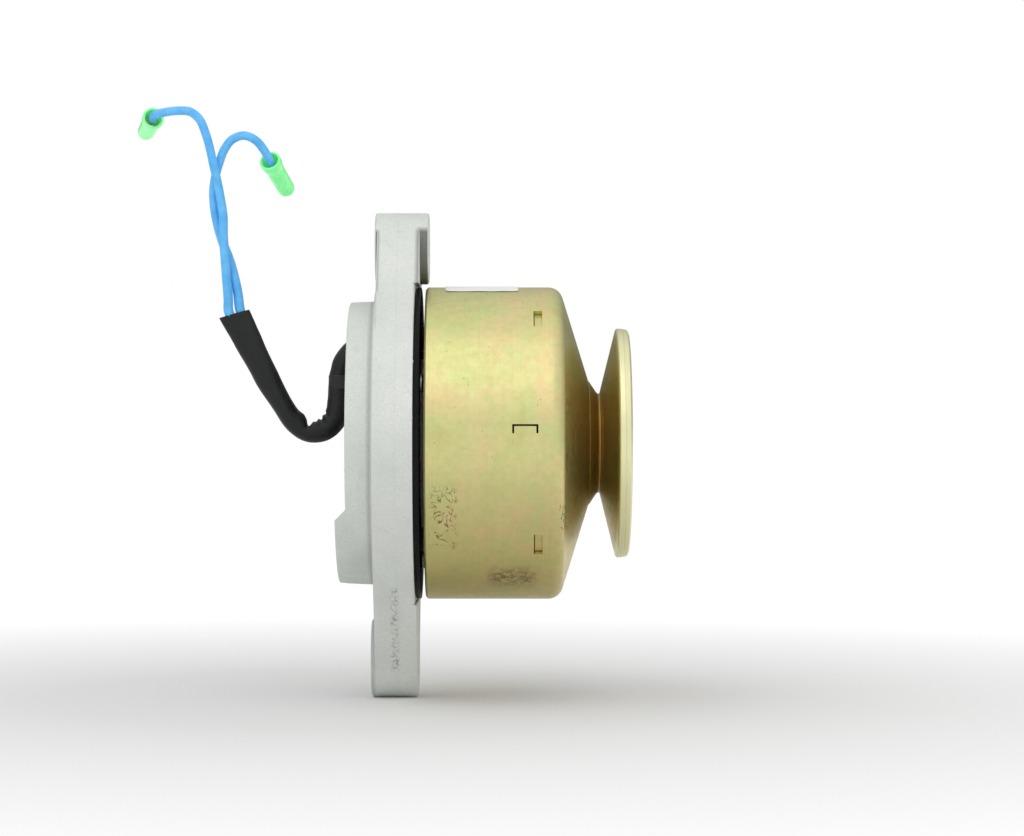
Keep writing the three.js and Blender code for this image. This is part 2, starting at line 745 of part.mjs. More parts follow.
// The balls and the cage that spaces them turn as one set.
function ballSet(x) {
  const { pitch, ball, balls, width } = BEARING;
  const middle = x + width / 2;
  let set = solid(ring(middle - 1, middle + 1, pitch - 0.7, pitch + 0.7, 24));
  for (let i = 0; i < balls; i += 1) {
    const sphere = new THREE.SphereGeometry(ball, 7, 4).translate(middle, pitch, 0);
    set = set.add(solid(turnedBy(sphere, i * 360 / balls)));
  }
  return set;
}

// Fixed to the outer ring, clear of the inner one.
function bearingSeal(x) {
  const land = BEARING.ball * 0.75;
  return ring(x, x + 0.6, BEARING.pitch - land + 0.4, BEARING.pitch + land - 0.25);
}

// A ring with a gap and two eyes at its ends.
function snapRing() {
  const from = REAR_BEARING_X - 1.6;
  const to = REAR_BEARING_X - 0.4;
  const arcs = [
    ...arc([0, 0], BEARING_SEAT + 0.8, 115, 425, 24),
    ...arc([0, 0], BEARING_SEAT - 1.6, 425, 115, 18),
  ];
  const eyes = [120, 60].map((angle) => solid(prism(
    circle(polar(BEARING_SEAT - 2.4, angle), 1.9, 10), from, to)));
  const holes = [120, 60].map((angle) => solid(prism(
    circle(polar(BEARING_SEAT - 2.4, angle), 0.9, 8), from - 1, to + 1)));
  return cut(union(solid(prism(arcs, from, to)), ...eyes), ...holes);
}

// ---------------------------------------------------------------- lead

// The lead goes back through the casting, turns down the rear face, and doubles back up.
const SLEEVE_ROUTE = [
  [21.9, LEAD_Y, LEAD_EXIT_Z],
  [14, LEAD_Y, LEAD_EXIT_Z],
  [7, LEAD_Y, LEAD_EXIT_Z],
  [0.5, LEAD_Y, 37.9],
  [-5.2, LEAD_Y, 35.8],
  [-9.9, LEAD_Y, 32],
  [-12.8, LEAD_Y, 27],
  [-13.5, LEAD_Y, 21],
  [-13.6, LEAD_Y, 15],
  [-15, LEAD_Y, 9],
  [-19, LEAD_Y, 5],
  [-24.6, LEAD_Y, 4.2],
  [-29.4, LEAD_Y, 7],
  [-33.9, LEAD_Y, 13.3],
  [-38.9, LEAD_Y, 21.8],
  [-43.9, LEAD_Y, 31.4],
  [-48.3, LEAD_Y, 40],
  [-52.2, LEAD_Y, 47.6],
];

// The wires leave the sleeve side by side and cross twice on their way up.
const WIRE_ROUTE_1 = [
  [-54.1, -5.6, 48.2],
  [-54.3, -5.9, 53],
  [-54.9, -6.3, 61],
  [-55.5, -6.8, 69.5],
  [-56, -6.9, 76],
  [-56.1, -6.6, 83.5],
  [-57, -6.6, 89.5],
  [-58.2, -6.8, 96],
  [-59.6, -6.9, 102],
  [-61, -6.8, 108.4],
  [-62.6, -6.8, 114],
  [-64.8, -6.8, 119],
  [-68.2, -6.8, 121.8],
  [-73, -6.8, 122.2],
  [-78, -6.4, 121.6],
  [-81.4, -4.2, 121],
  [-82.5, 0, 120.2],
  [-83.6, 4.2, 119.4],
];

const WIRE_ROUTE_2 = [
  [-50.3, -4.4, 50.2],
  [-50.8, -4.1, 54.4],
  [-52.3, -3.7, 61.5],
  [-54.4, -3.2, 68.5],
  [-56.6, -3.1, 74],
  [-58.4, -3.2, 80],
  [-59.6, -3.4, 86.5],
  [-60, -3.3, 92.5],
  [-59.3, -3.1, 98.3],
  [-57.8, -3.1, 103.5],
  [-56, -3.2, 108.2],
  [-53, -3.2, 112],
  [-48.6, -3.2, 113.4],
  [-44.6, -2.8, 111.8],
  [-41.6, -1.8, 108.4],
  [-39.3, -0.2, 104.2],
  [-38.2, 3.2, 102.2],
];

// Built along +Z with the open collar at 0 and placed on the last stretch of a wire.
function alongWireEnd(geometry, route) {
  const end = new THREE.Vector3(...route.at(-1));
  const heading = end.clone().sub(new THREE.Vector3(...route.at(-2))).normalize();
  const turn = new THREE.Quaternion().setFromUnitVectors(new THREE.Vector3(0, 0, 1), heading);
  const start = end.clone().addScaledVector(heading, -COLLAR_DEPTH);
  return geometry.applyQuaternion(turn).translate(start.x, start.y, start.z);
}

function latheUp(profile, segments) {
  const points = profile.map(([z, radius]) => new THREE.Vector2(radius, z));
  points.push(points[0].clone());
  return new THREE.LatheGeometry(points, segments).rotateX(Math.PI / 2);
}

function terminalSleeve() {
  return latheUp([
    [0, 3.2],
    [0, 4],
    [3, 3.9],
    [COLLAR_DEPTH, 3.4],
    [TERMINAL_LENGTH - 0.6, 3.15],
    [TERMINAL_LENGTH, 2.8],
    [TERMINAL_LENGTH, 2.5],
    [COLLAR_DEPTH, 2.5],
  ], 12);
}

function bulletSocket() {
  return latheUp([
    [5, 1.5],
    [5, 2.1],
    [TERMINAL_LENGTH - 1, 2.2],
    [TERMINAL_LENGTH - 1, 1.8],
  ], 12);
}

// The neck fits the casting's hole, and a flange lies on each side of the wall.
function leadGrommet() {
  const { neck, bore, flange, lip } = GROMMET;
  return turned([
    [FLOOR_REAR - 2.8, bore],
    [FLOOR_REAR - 2.8, flange - 1.4],
    [FLOOR_REAR - 1.6, flange],
    [FLOOR_REAR - 0.1, flange],
    [FLOOR_REAR - 0.1, neck],
    [PLATE_FRONT + 0.1, neck],
    [PLATE_FRONT + 0.1, lip],
    [PLATE_FRONT + 0.9, lip - 0.3],
    [PLATE_FRONT + 0.9, bore],
  ], 16).translate(0, LEAD_Y, LEAD_EXIT_Z);
}

function clipFoot() {
  return CLIP_CENTRE_X + SLEEVE_RADIUS + CLIP.room;
}

// A strap round the sleeve, with a flat foot on the casting's post.
function leadClip() {
  const inner = SLEEVE_RADIUS + CLIP.room;
  const outer = inner + CLIP.thick;
  const centre = [CLIP_CENTRE_X, LEAD_Y];
  const outline = [
    ...arc(centre, inner, 28, 332, 18),
    ...arc(centre, outer, 332, 62, 18),
    [clipFoot() - CLIP.thick, CLIP.screwY - 4.4],
    [clipFoot() - CLIP.thick, CLIP.screwY + 4],
    [clipFoot(), CLIP.screwY + 4],
  ];
  const shape = new THREE.Shape(outline.map(([x, y]) => new THREE.Vector2(x, y)));
  const strap = new THREE.ExtrudeGeometry(shape, { depth: CLIP.width, bevelEnabled: false });
  const hole = prism(circle([CLIP.screwY, CLIP.z], 2.1, 10), clipFoot() - 5, clipFoot() + 5);
  return solid(strap.translate(0, 0, CLIP.z - CLIP.width / 2)).subtract(solid(hole));
}

// ---------------------------------------------------------------- build

add('bracket_casting', bracketCasting(), CAST_ALUMINIUM);
add('dust_plate', dustPlate(), BLACK_STEEL);
DUST_SCREW_ANGLES.forEach((angle, i) => {
  const screw = placed(panScrew(1.9, 6.5, 3.4, 2), DUST_FRONT, polar(DUST_SCREW_CIRCLE, angle));
  add(`dust_plate_screw_${i + 1}`, screw, ZINC_STEEL);
});

add('stator_core', statorCore(), LAMINATION);
for (let i = 0; i < POLE_COUNT; i += 1) {
  add(`stator_coil_${i + 1}`, turnedBy(coil(), i * 360 / POLE_COUNT), COPPER);
}
statorScrewAngles().forEach((angle, i) => {
  const screw = placed(panScrew(2.4, 32, 3.9, 3), STACK_FRONT, polar(STATOR_SCREW_CIRCLE, angle));
  add(`stator_screw_${i + 1}`, screw, ZINC_STEEL);
});

add('rotor_drum', rotorDrum(), CHROMATED_STEEL);
for (let i = 0; i < MAGNET_COUNT; i += 1) {
  add(`magnet_${i + 1}`, turnedBy(magnet(), rotorAngle(WIDE_TAB_ANGLE + 45 + i * 90)), FERRITE);
  add(`hub_rivet_${i + 1}`, turnedBy(rivet(), rivetAngle(i)), BRIGHT_STEEL);
}
add('drum_label', drumLabel(), WHITE_PAPER);
add('pulley_flange', pulleyFlange(), CHROMATED_STEEL);
add('rotor_hub', rotorHub(), BRIGHT_STEEL);
add('rotor_shaft', rotorShaft(), BRIGHT_STEEL);
add('shaft_key', shaftKey(0), BRIGHT_STEEL);
const spacer = ring(REAR_BEARING_X + BEARING.width, FRONT_BEARING_X, SHAFT_RADIUS + 0.1, SPACER_RADIUS);
add('bearing_spacer', spacer, BRIGHT_STEEL);
add('pulley_washer', ring(WASHER_X, SPRING_X, THREAD_RADIUS + 0.2, WASHER.radius), ZINC_STEEL);
add('spring_washer', springWasher(), ZINC_STEEL);
add('pulley_nut', pulleyNut(), ZINC_STEEL);

for (const [side, x, sealX] of [['front', FRONT_BEARING_X, 46.2], ['rear', REAR_BEARING_X, -2.8]]) {
  add(`${side}_bearing_outer_ring`, outerRing(x), BRIGHT_STEEL);
  add(`${side}_bearing_inner_ring`, innerRing(x), BRIGHT_STEEL);
  add(`${side}_bearing_balls`, ballSet(x), BRIGHT_STEEL);
  add(`${side}_bearing_seal`, bearingSeal(sealX), RUBBER);
}
add('snap_ring', snapRing(), BLACK_STEEL);

add('lead_grommet', leadGrommet(), RUBBER);
add('lead_clip', leadClip(), RUBBER);
const clipScrew = panScrew(1.7, 9, 3.6, 2.2).rotateZ(Math.PI);
add('lead_clip_screw', placed(clipScrew, clipFoot() - CLIP.thick, [CLIP.screwY, CLIP.z]), ZINC_STEEL);
add('lead_sleeve', tube(SLEEVE_ROUTE, SLEEVE_RADIUS, 8, 28), BLACK_VINYL);
[WIRE_ROUTE_1, WIRE_ROUTE_2].forEach((route, i) => {
  add(`lead_wire_${i + 1}`, tube(route, WIRE_RADIUS, 8, 24), BLUE_VINYL);
  add(`terminal_sleeve_${i + 1}`, alongWireEnd(terminalSleeve(), route), GREEN_VINYL);
  add(`bullet_socket_${i + 1}`, alongWireEnd(bulletSocket(), route), BRASS);
});

export default dynamo;
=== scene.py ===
"""Looks for an engine dynamo: a cast bracket, a spinning drum with its belt pulley, and a lead.

Metres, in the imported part's frame: +X runs along the shaft towards the pulley and +Z is up.
Lengths in the shape code below are millimetres; the mesh builders turn them into metres.
"""
import math
import random

import bmesh
import bpy
from mathutils import Matrix, Vector, noise


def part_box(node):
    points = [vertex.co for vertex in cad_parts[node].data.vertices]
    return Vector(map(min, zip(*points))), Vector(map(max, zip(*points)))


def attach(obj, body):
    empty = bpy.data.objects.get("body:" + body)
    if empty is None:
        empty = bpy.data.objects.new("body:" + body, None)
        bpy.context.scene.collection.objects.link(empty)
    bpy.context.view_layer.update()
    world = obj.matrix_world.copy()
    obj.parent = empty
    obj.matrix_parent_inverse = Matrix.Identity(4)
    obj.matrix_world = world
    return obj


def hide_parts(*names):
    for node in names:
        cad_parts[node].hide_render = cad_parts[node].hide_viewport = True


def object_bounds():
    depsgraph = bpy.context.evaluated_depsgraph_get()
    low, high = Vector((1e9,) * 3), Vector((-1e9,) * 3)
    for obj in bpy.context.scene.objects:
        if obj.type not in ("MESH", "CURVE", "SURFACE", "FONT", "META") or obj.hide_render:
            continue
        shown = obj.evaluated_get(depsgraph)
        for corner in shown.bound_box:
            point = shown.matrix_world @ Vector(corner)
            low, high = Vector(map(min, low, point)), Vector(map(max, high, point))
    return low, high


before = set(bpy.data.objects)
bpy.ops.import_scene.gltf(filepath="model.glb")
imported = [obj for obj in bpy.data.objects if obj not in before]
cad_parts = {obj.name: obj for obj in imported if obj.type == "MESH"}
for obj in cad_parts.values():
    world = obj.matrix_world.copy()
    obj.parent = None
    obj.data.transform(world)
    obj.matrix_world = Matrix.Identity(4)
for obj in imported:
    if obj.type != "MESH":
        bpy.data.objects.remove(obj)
cad_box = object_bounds()

MM = 0.001
ROOM_LIGHT = (0.14, 0.95)
FLOOR_GAP = 0.4

# Steps round a circle.
SMOOTH = 192
MEDIUM = 96
SMALL = 40


def span(node):
    """Lowest and highest corner of a CAD node, in millimetres."""
    low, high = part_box(node)
    return low / MM, high / MM


# ------------------------------------------------------------------ driving dimensions

CASTING_LOW, CASTING_HIGH = span("bracket_casting")
DRUM_LOW, DRUM_HIGH = span("rotor_drum")
FLANGE_LOW, FLANGE_HIGH = span("pulley_flange")
DUST_LOW, DUST_HIGH = span("dust_plate")
SHAFT_LOW, SHAFT_HIGH = span("rotor_shaft")
LABEL_LOW, LABEL_HIGH = span("drum_label")
NUT_LOW, NUT_HIGH = span("pulley_nut")
WASHER_LOW, WASHER_HIGH = span("pulley_washer")
SPRING_LOW, SPRING_HIGH = span("spring_washer")
GROMMET_LOW, GROMMET_HIGH = span("lead_grommet")
CLIP_LOW, CLIP_HIGH = span("lead_clip")

PLATE_RADIUS = CASTING_HIGH.y
PLATE_FRONT = 14.7
RIM_REAR = -9.5
RIM_RADIUS = 52.3
RIM_WALL = 5.3
FLOOR_REAR = 8.7
DRAFT = 0.4
REAR_BOSS_RADIUS = 23
REAR_BOSS_END = -6.5
FRONT_BOSS_RADIUS = 22.4
FRONT_BOSS_END = CASTING_HIGH.x
STATOR_LAND_RADIUS = 31
STACK_REAR = span("stator_core")[0].x
STACK_FRONT = span("stator_core")[1].x
RIB_COUNT = 6
RIB_REAR = -2
PAD_REAR = CASTING_LOW.x
PAD_TOP = -23.4
PAD_INNER_RADIUS = 40
PARTING_X = 8.3
UPPER_LUG = {"z": 71.8, "radius": 13.15, "rear": -0.2, "front": 19.6, "web": (0.7, 14.7),
             "raised": 16.3, "hole": 5.25}
LOWER_LUG = {"z": 79.3, "radius": 14.2, "rear": -1.6, "front": 15.8, "web": (0, 14.7),
             "raised": 15.7, "hole": 6.25}
LUG_FOOT_RADIUS = 50
FLANK_CIRCLE = PLATE_RADIUS - 0.3

DUST_BORE = 32

DRUM_RADIUS = DRUM_HIGH.z
DRUM_RIM_X = DRUM_LOW.x
DRUM_WALL = 3.2
DRUM_SHOULDER_X = 67.5
DRUM_CORNER = 5.5
CONE_ANGLE = math.radians(17.3)
SEAM_RADIUS = 23.5
WEB_BORE = 11.1
WEB_FRONT = FLANGE_LOW.x
WEB_REAR = WEB_FRONT - DRUM_WALL
MAGNET_COUNT = 4
WIDE_TAB = {"angle": 5.5, "from": 49.8, "to": 59, "width": 3.2, "slit": 0.7}
NARROW_TAB = {"angle": 51.5, "from": 57.6, "to": 60.7, "length": 9, "drop": 1.8, "thick": 2.2,
              "gap": 0.25}

FLANGE_RADIUS = FLANGE_HIGH.z
FLANGE_FRONT = FLANGE_HIGH.x
FLANK_SLOPE = math.tan(math.radians(14.3))
NECK_X = 82.2
NECK_RADIUS = 18
FLANGE_WALL = 3.7
FLANGE_WEB = 3
NUT_RECESS_RADIUS = 14.8

BEARING_SEAT = 17.6
BEARING_SHOULDER = 15.5
BEARING_WIDTH = 11
REAR_BEARING_X = span("rear_bearing_outer_ring")[0].x
FRONT_BEARING_X = span("front_bearing_outer_ring")[0].x

WIRE_DIAMETER = 3.2
LEAD_Y = (GROMMET_LOW.y + GROMMET_HIGH.y) / 2
LEAD_EXIT_Z = (GROMMET_LOW.z + GROMMET_HIGH.z) / 2
CLIP_SCREW = (9, (CLIP_LOW.z + CLIP_HIGH.z) / 2)
TERMINAL_LENGTH = 20
COLLAR_DEPTH = 4.6


def in_metres(points):
    return [tuple(round(value * MM, 5) for value in point) for point in points]


# The lead leaves the casting's rear, turns down, and doubles back up.
SLEEVE_ROUTE = in_metres((x, -5, z) for x, z in (
    (21.9, 38.5), (14, 38.5), (7, 38.5), (0.5, 37.9), (-5.2, 35.8), (-9.9, 32), (-12.8, 27),
    (-13.5, 21), (-13.6, 15), (-15, 9), (-19, 5), (-24.6, 4.2), (-29.4, 7), (-33.9, 13.3),
    (-38.9, 21.8), (-43.9, 31.4), (-48.3, 40), (-52.2, 47.6),
))

# The wires leave the sleeve side by side and cross twice on their way up.
WIRE_ROUTE_1 = in_metres((
    (-54.1, -5.6, 48.2), (-54.3, -5.9, 53), (-54.9, -6.3, 61), (-55.5, -6.8, 69.5),
    (-56, -6.9, 76), (-56.1, -6.6, 83.5), (-57, -6.6, 89.5), (-58.2, -6.8, 96), (-59.6, -6.9, 102),
    (-61, -6.8, 108.4), (-62.6, -6.8, 114), (-64.8, -6.8, 119), (-68.2, -6.8, 121.8),
    (-73, -6.8, 122.2), (-78, -6.4, 121.6), (-81.4, -4.2, 121), (-82.5, 0, 120.2),
    (-83.6, 4.2, 119.4),
))
WIRE_ROUTE_2 = in_metres((
    (-50.3, -4.4, 50.2), (-50.8, -4.1, 54.4), (-52.3, -3.7, 61.5), (-54.4, -3.2, 68.5),
    (-56.6, -3.1, 74), (-58.4, -3.2, 80), (-59.6, -3.4, 86.5), (-60, -3.3, 92.5),
    (-59.3, -3.1, 98.3), (-57.8, -3.1, 103.5), (-56, -3.2, 108.2), (-53, -3.2, 112),
    (-48.6, -3.2, 113.4), (-44.6, -2.8, 111.8), (-41.6, -1.8, 108.4), (-39.3, -0.2, 104.2),
    (-38.2, 3.2, 102.2),
))


# ------------------------------------------------------------------ camera and light

def add_object(name, data):
    made = bpy.data.objects.new(name, data)
    bpy.context.scene.collection.objects.link(made)
    return made


def make_camera():
    data = bpy.data.cameras.new("camera")
    data.lens = 107.4
    data.sensor_width = 36
    data.shift_x = 0.0215
    camera = add_object("camera", data)
    camera.location = (0.042, -1.13, 0.00925)
    camera.rotation_euler = (math.radians(90), 0, 0)
    bpy.context.scene.camera = camera


def make_light():
    """A soft white room, brightest overhead and dimmest behind and below the part."""
    world = bpy.data.worlds.new("studio")
    world.use_nodes = True
    nodes, links = world.node_tree.nodes, world.node_tree.links
    toward = nodes.new("ShaderNodeVectorMath")
    toward.operation = "DOT_PRODUCT"
    toward.inputs[1].default_value = Vector((0, -0.5, 0.87)).normalized()
    links.new(nodes.new("ShaderNodeTexCoord").outputs["Generated"], toward.inputs[0])
    strength = nodes.new("ShaderNodeMapRange")
    strength.interpolation_type = "SMOOTHSTEP"
    for socket, value in zip(list(strength.inputs)[1:5], (-0.75, 0.75, *ROOM_LIGHT)):
        socket.default_value = value
    links.new(toward.outputs["Value"], strength.inputs[0])
    room = nodes["Background"]
    backdrop = nodes.new("ShaderNodeBackground")
    for shader in (room, backdrop):
        shader.inputs["Color"].default_value = (1, 1, 1, 1)
    links.new(strength.outputs[0], room.inputs["Strength"])
    either = nodes.new("ShaderNodeMixShader")
    links.new(nodes.new("ShaderNodeLightPath").outputs["Is Camera Ray"], either.inputs["Fac"])
    links.new(room.outputs[0], either.inputs[1])
    links.new(backdrop.outputs[0], either.inputs[2])
    links.new(either.outputs[0], nodes["World Output"].inputs["Surface"])
    bpy.context.scene.world = world

    data = bpy.data.lights.new("key", "AREA")
    data.shape = "RECTANGLE"
    data.size, data.size_y = 0.8, 0.6
    data.energy = 0.6
    key = add_object("key", data)
    key.location = (-0.05, -0.35, 0.55)
    key.rotation_mode = "QUATERNION"
    key.rotation_quaternion = (Vector((0.03, 0, 0.03)) - key.location).to_track_quat("-Z", "Y")


# ------------------------------------------------------------------ shape helpers

def eased(profile, closed, steps=5):
    """Rounds the corners of (x, radius, ease) points; a point without ease stays sharp."""
    count = len(profile)
    points = []
    for i, entry in enumerate(profile):
        here = Vector(entry[:2])
        ease = entry[2] if len(entry) > 2 else 0
        inner = closed or 0 < i < count - 1
        if not ease or not inner:
            points.append(tuple(here))
            continue
        before = Vector(profile[i - 1][:2]) - here
        after = Vector(profile[(i + 1) % count][:2]) - here
        half = before.angle(after) / 2
        reach = min(ease / math.tan(half), 0.45 * before.length, 0.45 * after.length)
        start = here + before.normalized() * reach
        end = here + after.normalized() * reach
        for k in range(steps + 1):
            t = k / steps
            points.append(tuple(start * (1 - t) ** 2 + here * (2 * t * (1 - t)) + end * t * t))
    return points


def mesh_object(bm, name="shape"):
    bmesh.ops.recalc_face_normals(bm, faces=bm.faces)
    mesh = bpy.data.meshes.new(name)
    bm.to_mesh(mesh)
    bm.free()
    return add_object(name, mesh)


def bridge(bm, first, second):
    """Faces between two closed rings of vertices; a ring of one vertex is a pole."""
    count = max(len(first), len(second))
    for i in range(count):
        j = (i + 1) % count
        corners = [first[i % len(first)], first[j % len(first)],
                   second[j % len(second)], second[i % len(second)]]
        corners = list(dict.fromkeys(corners))
        if len(corners) > 2:
            bm.faces.new(corners)


def skin(bm, rings):
    for first, second in zip(rings, rings[1:]):
        bridge(bm, first, second)


def turned(profile, segments=SMOOTH, matrix=None):
    """A body of revolution about X from (x, radius, ease) points.

    A profile that starts and ends on the axis is left open there, and any other one closes.
    """
    closed = profile[0][1] > 0
    bm = bmesh.new()
    rings = []
    for x, radius in eased(profile, closed):
        steps = segments if radius > 1e-6 else 1
        angles = [math.tau * i / steps for i in range(steps)]
        rings.append([bm.verts.new((x * MM, radius * MM * math.cos(a), radius * MM * math.sin(a)))
                      for a in angles])
    skin(bm, rings)
    if closed:
        bridge(bm, rings[-1], rings[0])
    if matrix:
        bm.transform(matrix)
    return mesh_object(bm)


def arc(centre, radius, start, end, steps):
    points = []
    for i in range(steps + 1):
        angle = math.radians(start + (end - start) * i / steps)
        points.append((centre[0] + radius * math.cos(angle), centre[1] + radius * math.sin(angle)))
    return points


def circle(centre, radius, steps):
    return arc(centre, radius, 0, 360, steps)[:-1]


def inset(outline, distance):
    """An anticlockwise outline moved inwards by a distance."""
    moved = []
    count = len(outline)
    for i, point in enumerate(outline):
        before = Vector(point) - Vector(outline[i - 1])
        after = Vector(outline[(i + 1) % count]) - Vector(point)
        first = Vector((-before.y, before.x)).normalized()
        second = Vector((-after.y, after.x)).normalized()
        way = (first + second).normalized()
        moved.append(Vector(point) + way * distance / max(way.dot(first), 0.4))
    return [tuple(point) for point in moved]


# Sends a section's own x, y and z to Y, Z and X.
SECTION_TO_X = Matrix(((0, 0, 1, 0), (1, 0, 0, 0), (0, 1, 0, 0), (0, 0, 0, 1)))


def prism(outline, start, end, ease=0.0, steps=3, matrix=SECTION_TO_X):
    """An anticlockwise outline pushed along X, with rounded edges at both ends."""
    area = sum(a[0] * b[1] - b[0] * a[1] for a, b in zip(outline, outline[1:] + outline[:1]))
    outline = outline if area > 0 else outline[::-1]
    bm = bmesh.new()
    levels = [(start, 0.0), (end, 0.0)]
    if ease:
        turns = [math.radians(90 * k / steps) for k in range(steps + 1)]
        levels = [(start + ease * (1 - math.cos(t)), ease * (1 - math.sin(t))) for t in turns]
        levels += [(end - ease * (1 - math.cos(t)), ease * (1 - math.sin(t)))
                   for t in reversed(turns)]
    rings = []
    for along, shrink in levels:
        ring = inset(outline, shrink) if shrink > 1e-9 else outline
        rings.append([bm.verts.new((x * MM, y * MM, along * MM)) for x, y in ring])
    skin(bm, rings)
    bm.faces.new(rings[0][::-1])
    bm.faces.new(rings[-1])
    bm.transform(matrix)
    return mesh_object(bm)


def block(low, high, ease=0.0):
    outline = [(low[1], low[2]), (high[1], low[2]), (high[1], high[2]), (low[1], high[2])]
    return prism(outline, low[0], high[0], ease)


def polar(radius, degrees):
    return (radius * math.cos(math.radians(degrees)), radius * math.sin(math.radians(degrees)))


def about_x(degrees):
    return Matrix.Rotation(math.radians(degrees), 4, "X")


def shift(x, y=0, z=0):
    return Matrix.Translation(Vector((x, y, z)) * MM)


def moved(made, matrix):
    made.data.transform(matrix)
    return made


def combine(body, tools, operation):
    """Joins tools to a body, or cuts them from it, and removes the tools."""
    for tool in tools:
        step = body.modifiers.new("combine", "BOOLEAN")
        step.operation = operation
        step.solver = "MANIFOLD"
        step.object = tool
    graph = bpy.context.evaluated_depsgraph_get()
    mesh = bpy.data.meshes.new_from_object(body.evaluated_get(graph))
    body.modifiers.clear()
    body.data = mesh
    for tool in tools:
        bpy.data.objects.remove(tool)
    return body


def joined(body, *tools):
    return combine(body, tools, "UNION")


def carved(body, *tools):
    return combine(body, tools, "DIFFERENCE")


def hole_cutter(centre, radius, start, end, flare=0.5, segments=SMALL):
    """Cuts a hole along X whose two mouths are chamfered."""
    profile = [(start - 1, 0), (start - 1, radius + flare + 1), (start + flare, radius),
               (end - flare, radius), (end + 1, radius + flare + 1), (end + 1, 0)]
    return turned(profile, segments, shift(0, *centre))


def rod(start, end, radius, centre=(0, 0), segments=SMALL):
    return turned([(start, 0), (start, radius), (end, radius), (end, 0)], segments,
                  shift(0, *centre))


def piece(made, name, body, slot, node, weighted=True):
    """Names a finished shape, gives it its material and hangs it on its CAD body."""
    made.name = made.data.name = name
    made.data.materials.clear()
    made.data.materials.append(LOOKS[slot])
    made.data.shade_smooth()
    made.data.set_sharp_from_angle(angle=math.radians(32))
    if weighted:
        made.modifiers.new("normals", "WEIGHTED_NORMAL").keep_sharp = True
    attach(made, body)
    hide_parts(node)
    return made


def along_route(points, per_span=8):
    """The centripetal Catmull-Rom curve through the points, as the CAD's tubes follow."""
    points = [Vector(p) for p in points]
    points = [points[0] * 2 - points[1]] + points + [points[-1] * 2 - points[-2]]
    line = []
    for p0, p1, p2, p3 in zip(points, points[1:], points[2:], points[3:]):
        t1 = (p1 - p0).length ** 0.5
        t2 = t1 + (p2 - p1).length ** 0.5
        t3 = t2 + (p3 - p2).length ** 0.5
        for k in range(per_span):
            t = t1 + (t2 - t1) * k / per_span
            a1 = p0 * ((t1 - t) / t1) + p1 * (t / t1)
            a2 = p1 * ((t2 - t) / (t2 - t1)) + p2 * ((t - t1) / (t2 - t1))
            a3 = p2 * ((t3 - t) / (t3 - t2)) + p3 * ((t - t2) / (t3 - t2))
            b1 = a1 * ((t2 - t) / t2) + a2 * (t / t2)
            b2 = a2 * ((t3 - t) / (t3 - t1)) + a3 * ((t - t1) / (t3 - t1))
            line.append(b1 * ((t2 - t) / (t2 - t1)) + b2 * ((t - t1) / (t2 - t1)))
    line.append(points[-2])
    return line


def length_of(line):
    return sum((b - a).length for a, b in zip(line, line[1:]))


# ------------------------------------------------------------------ material helpers

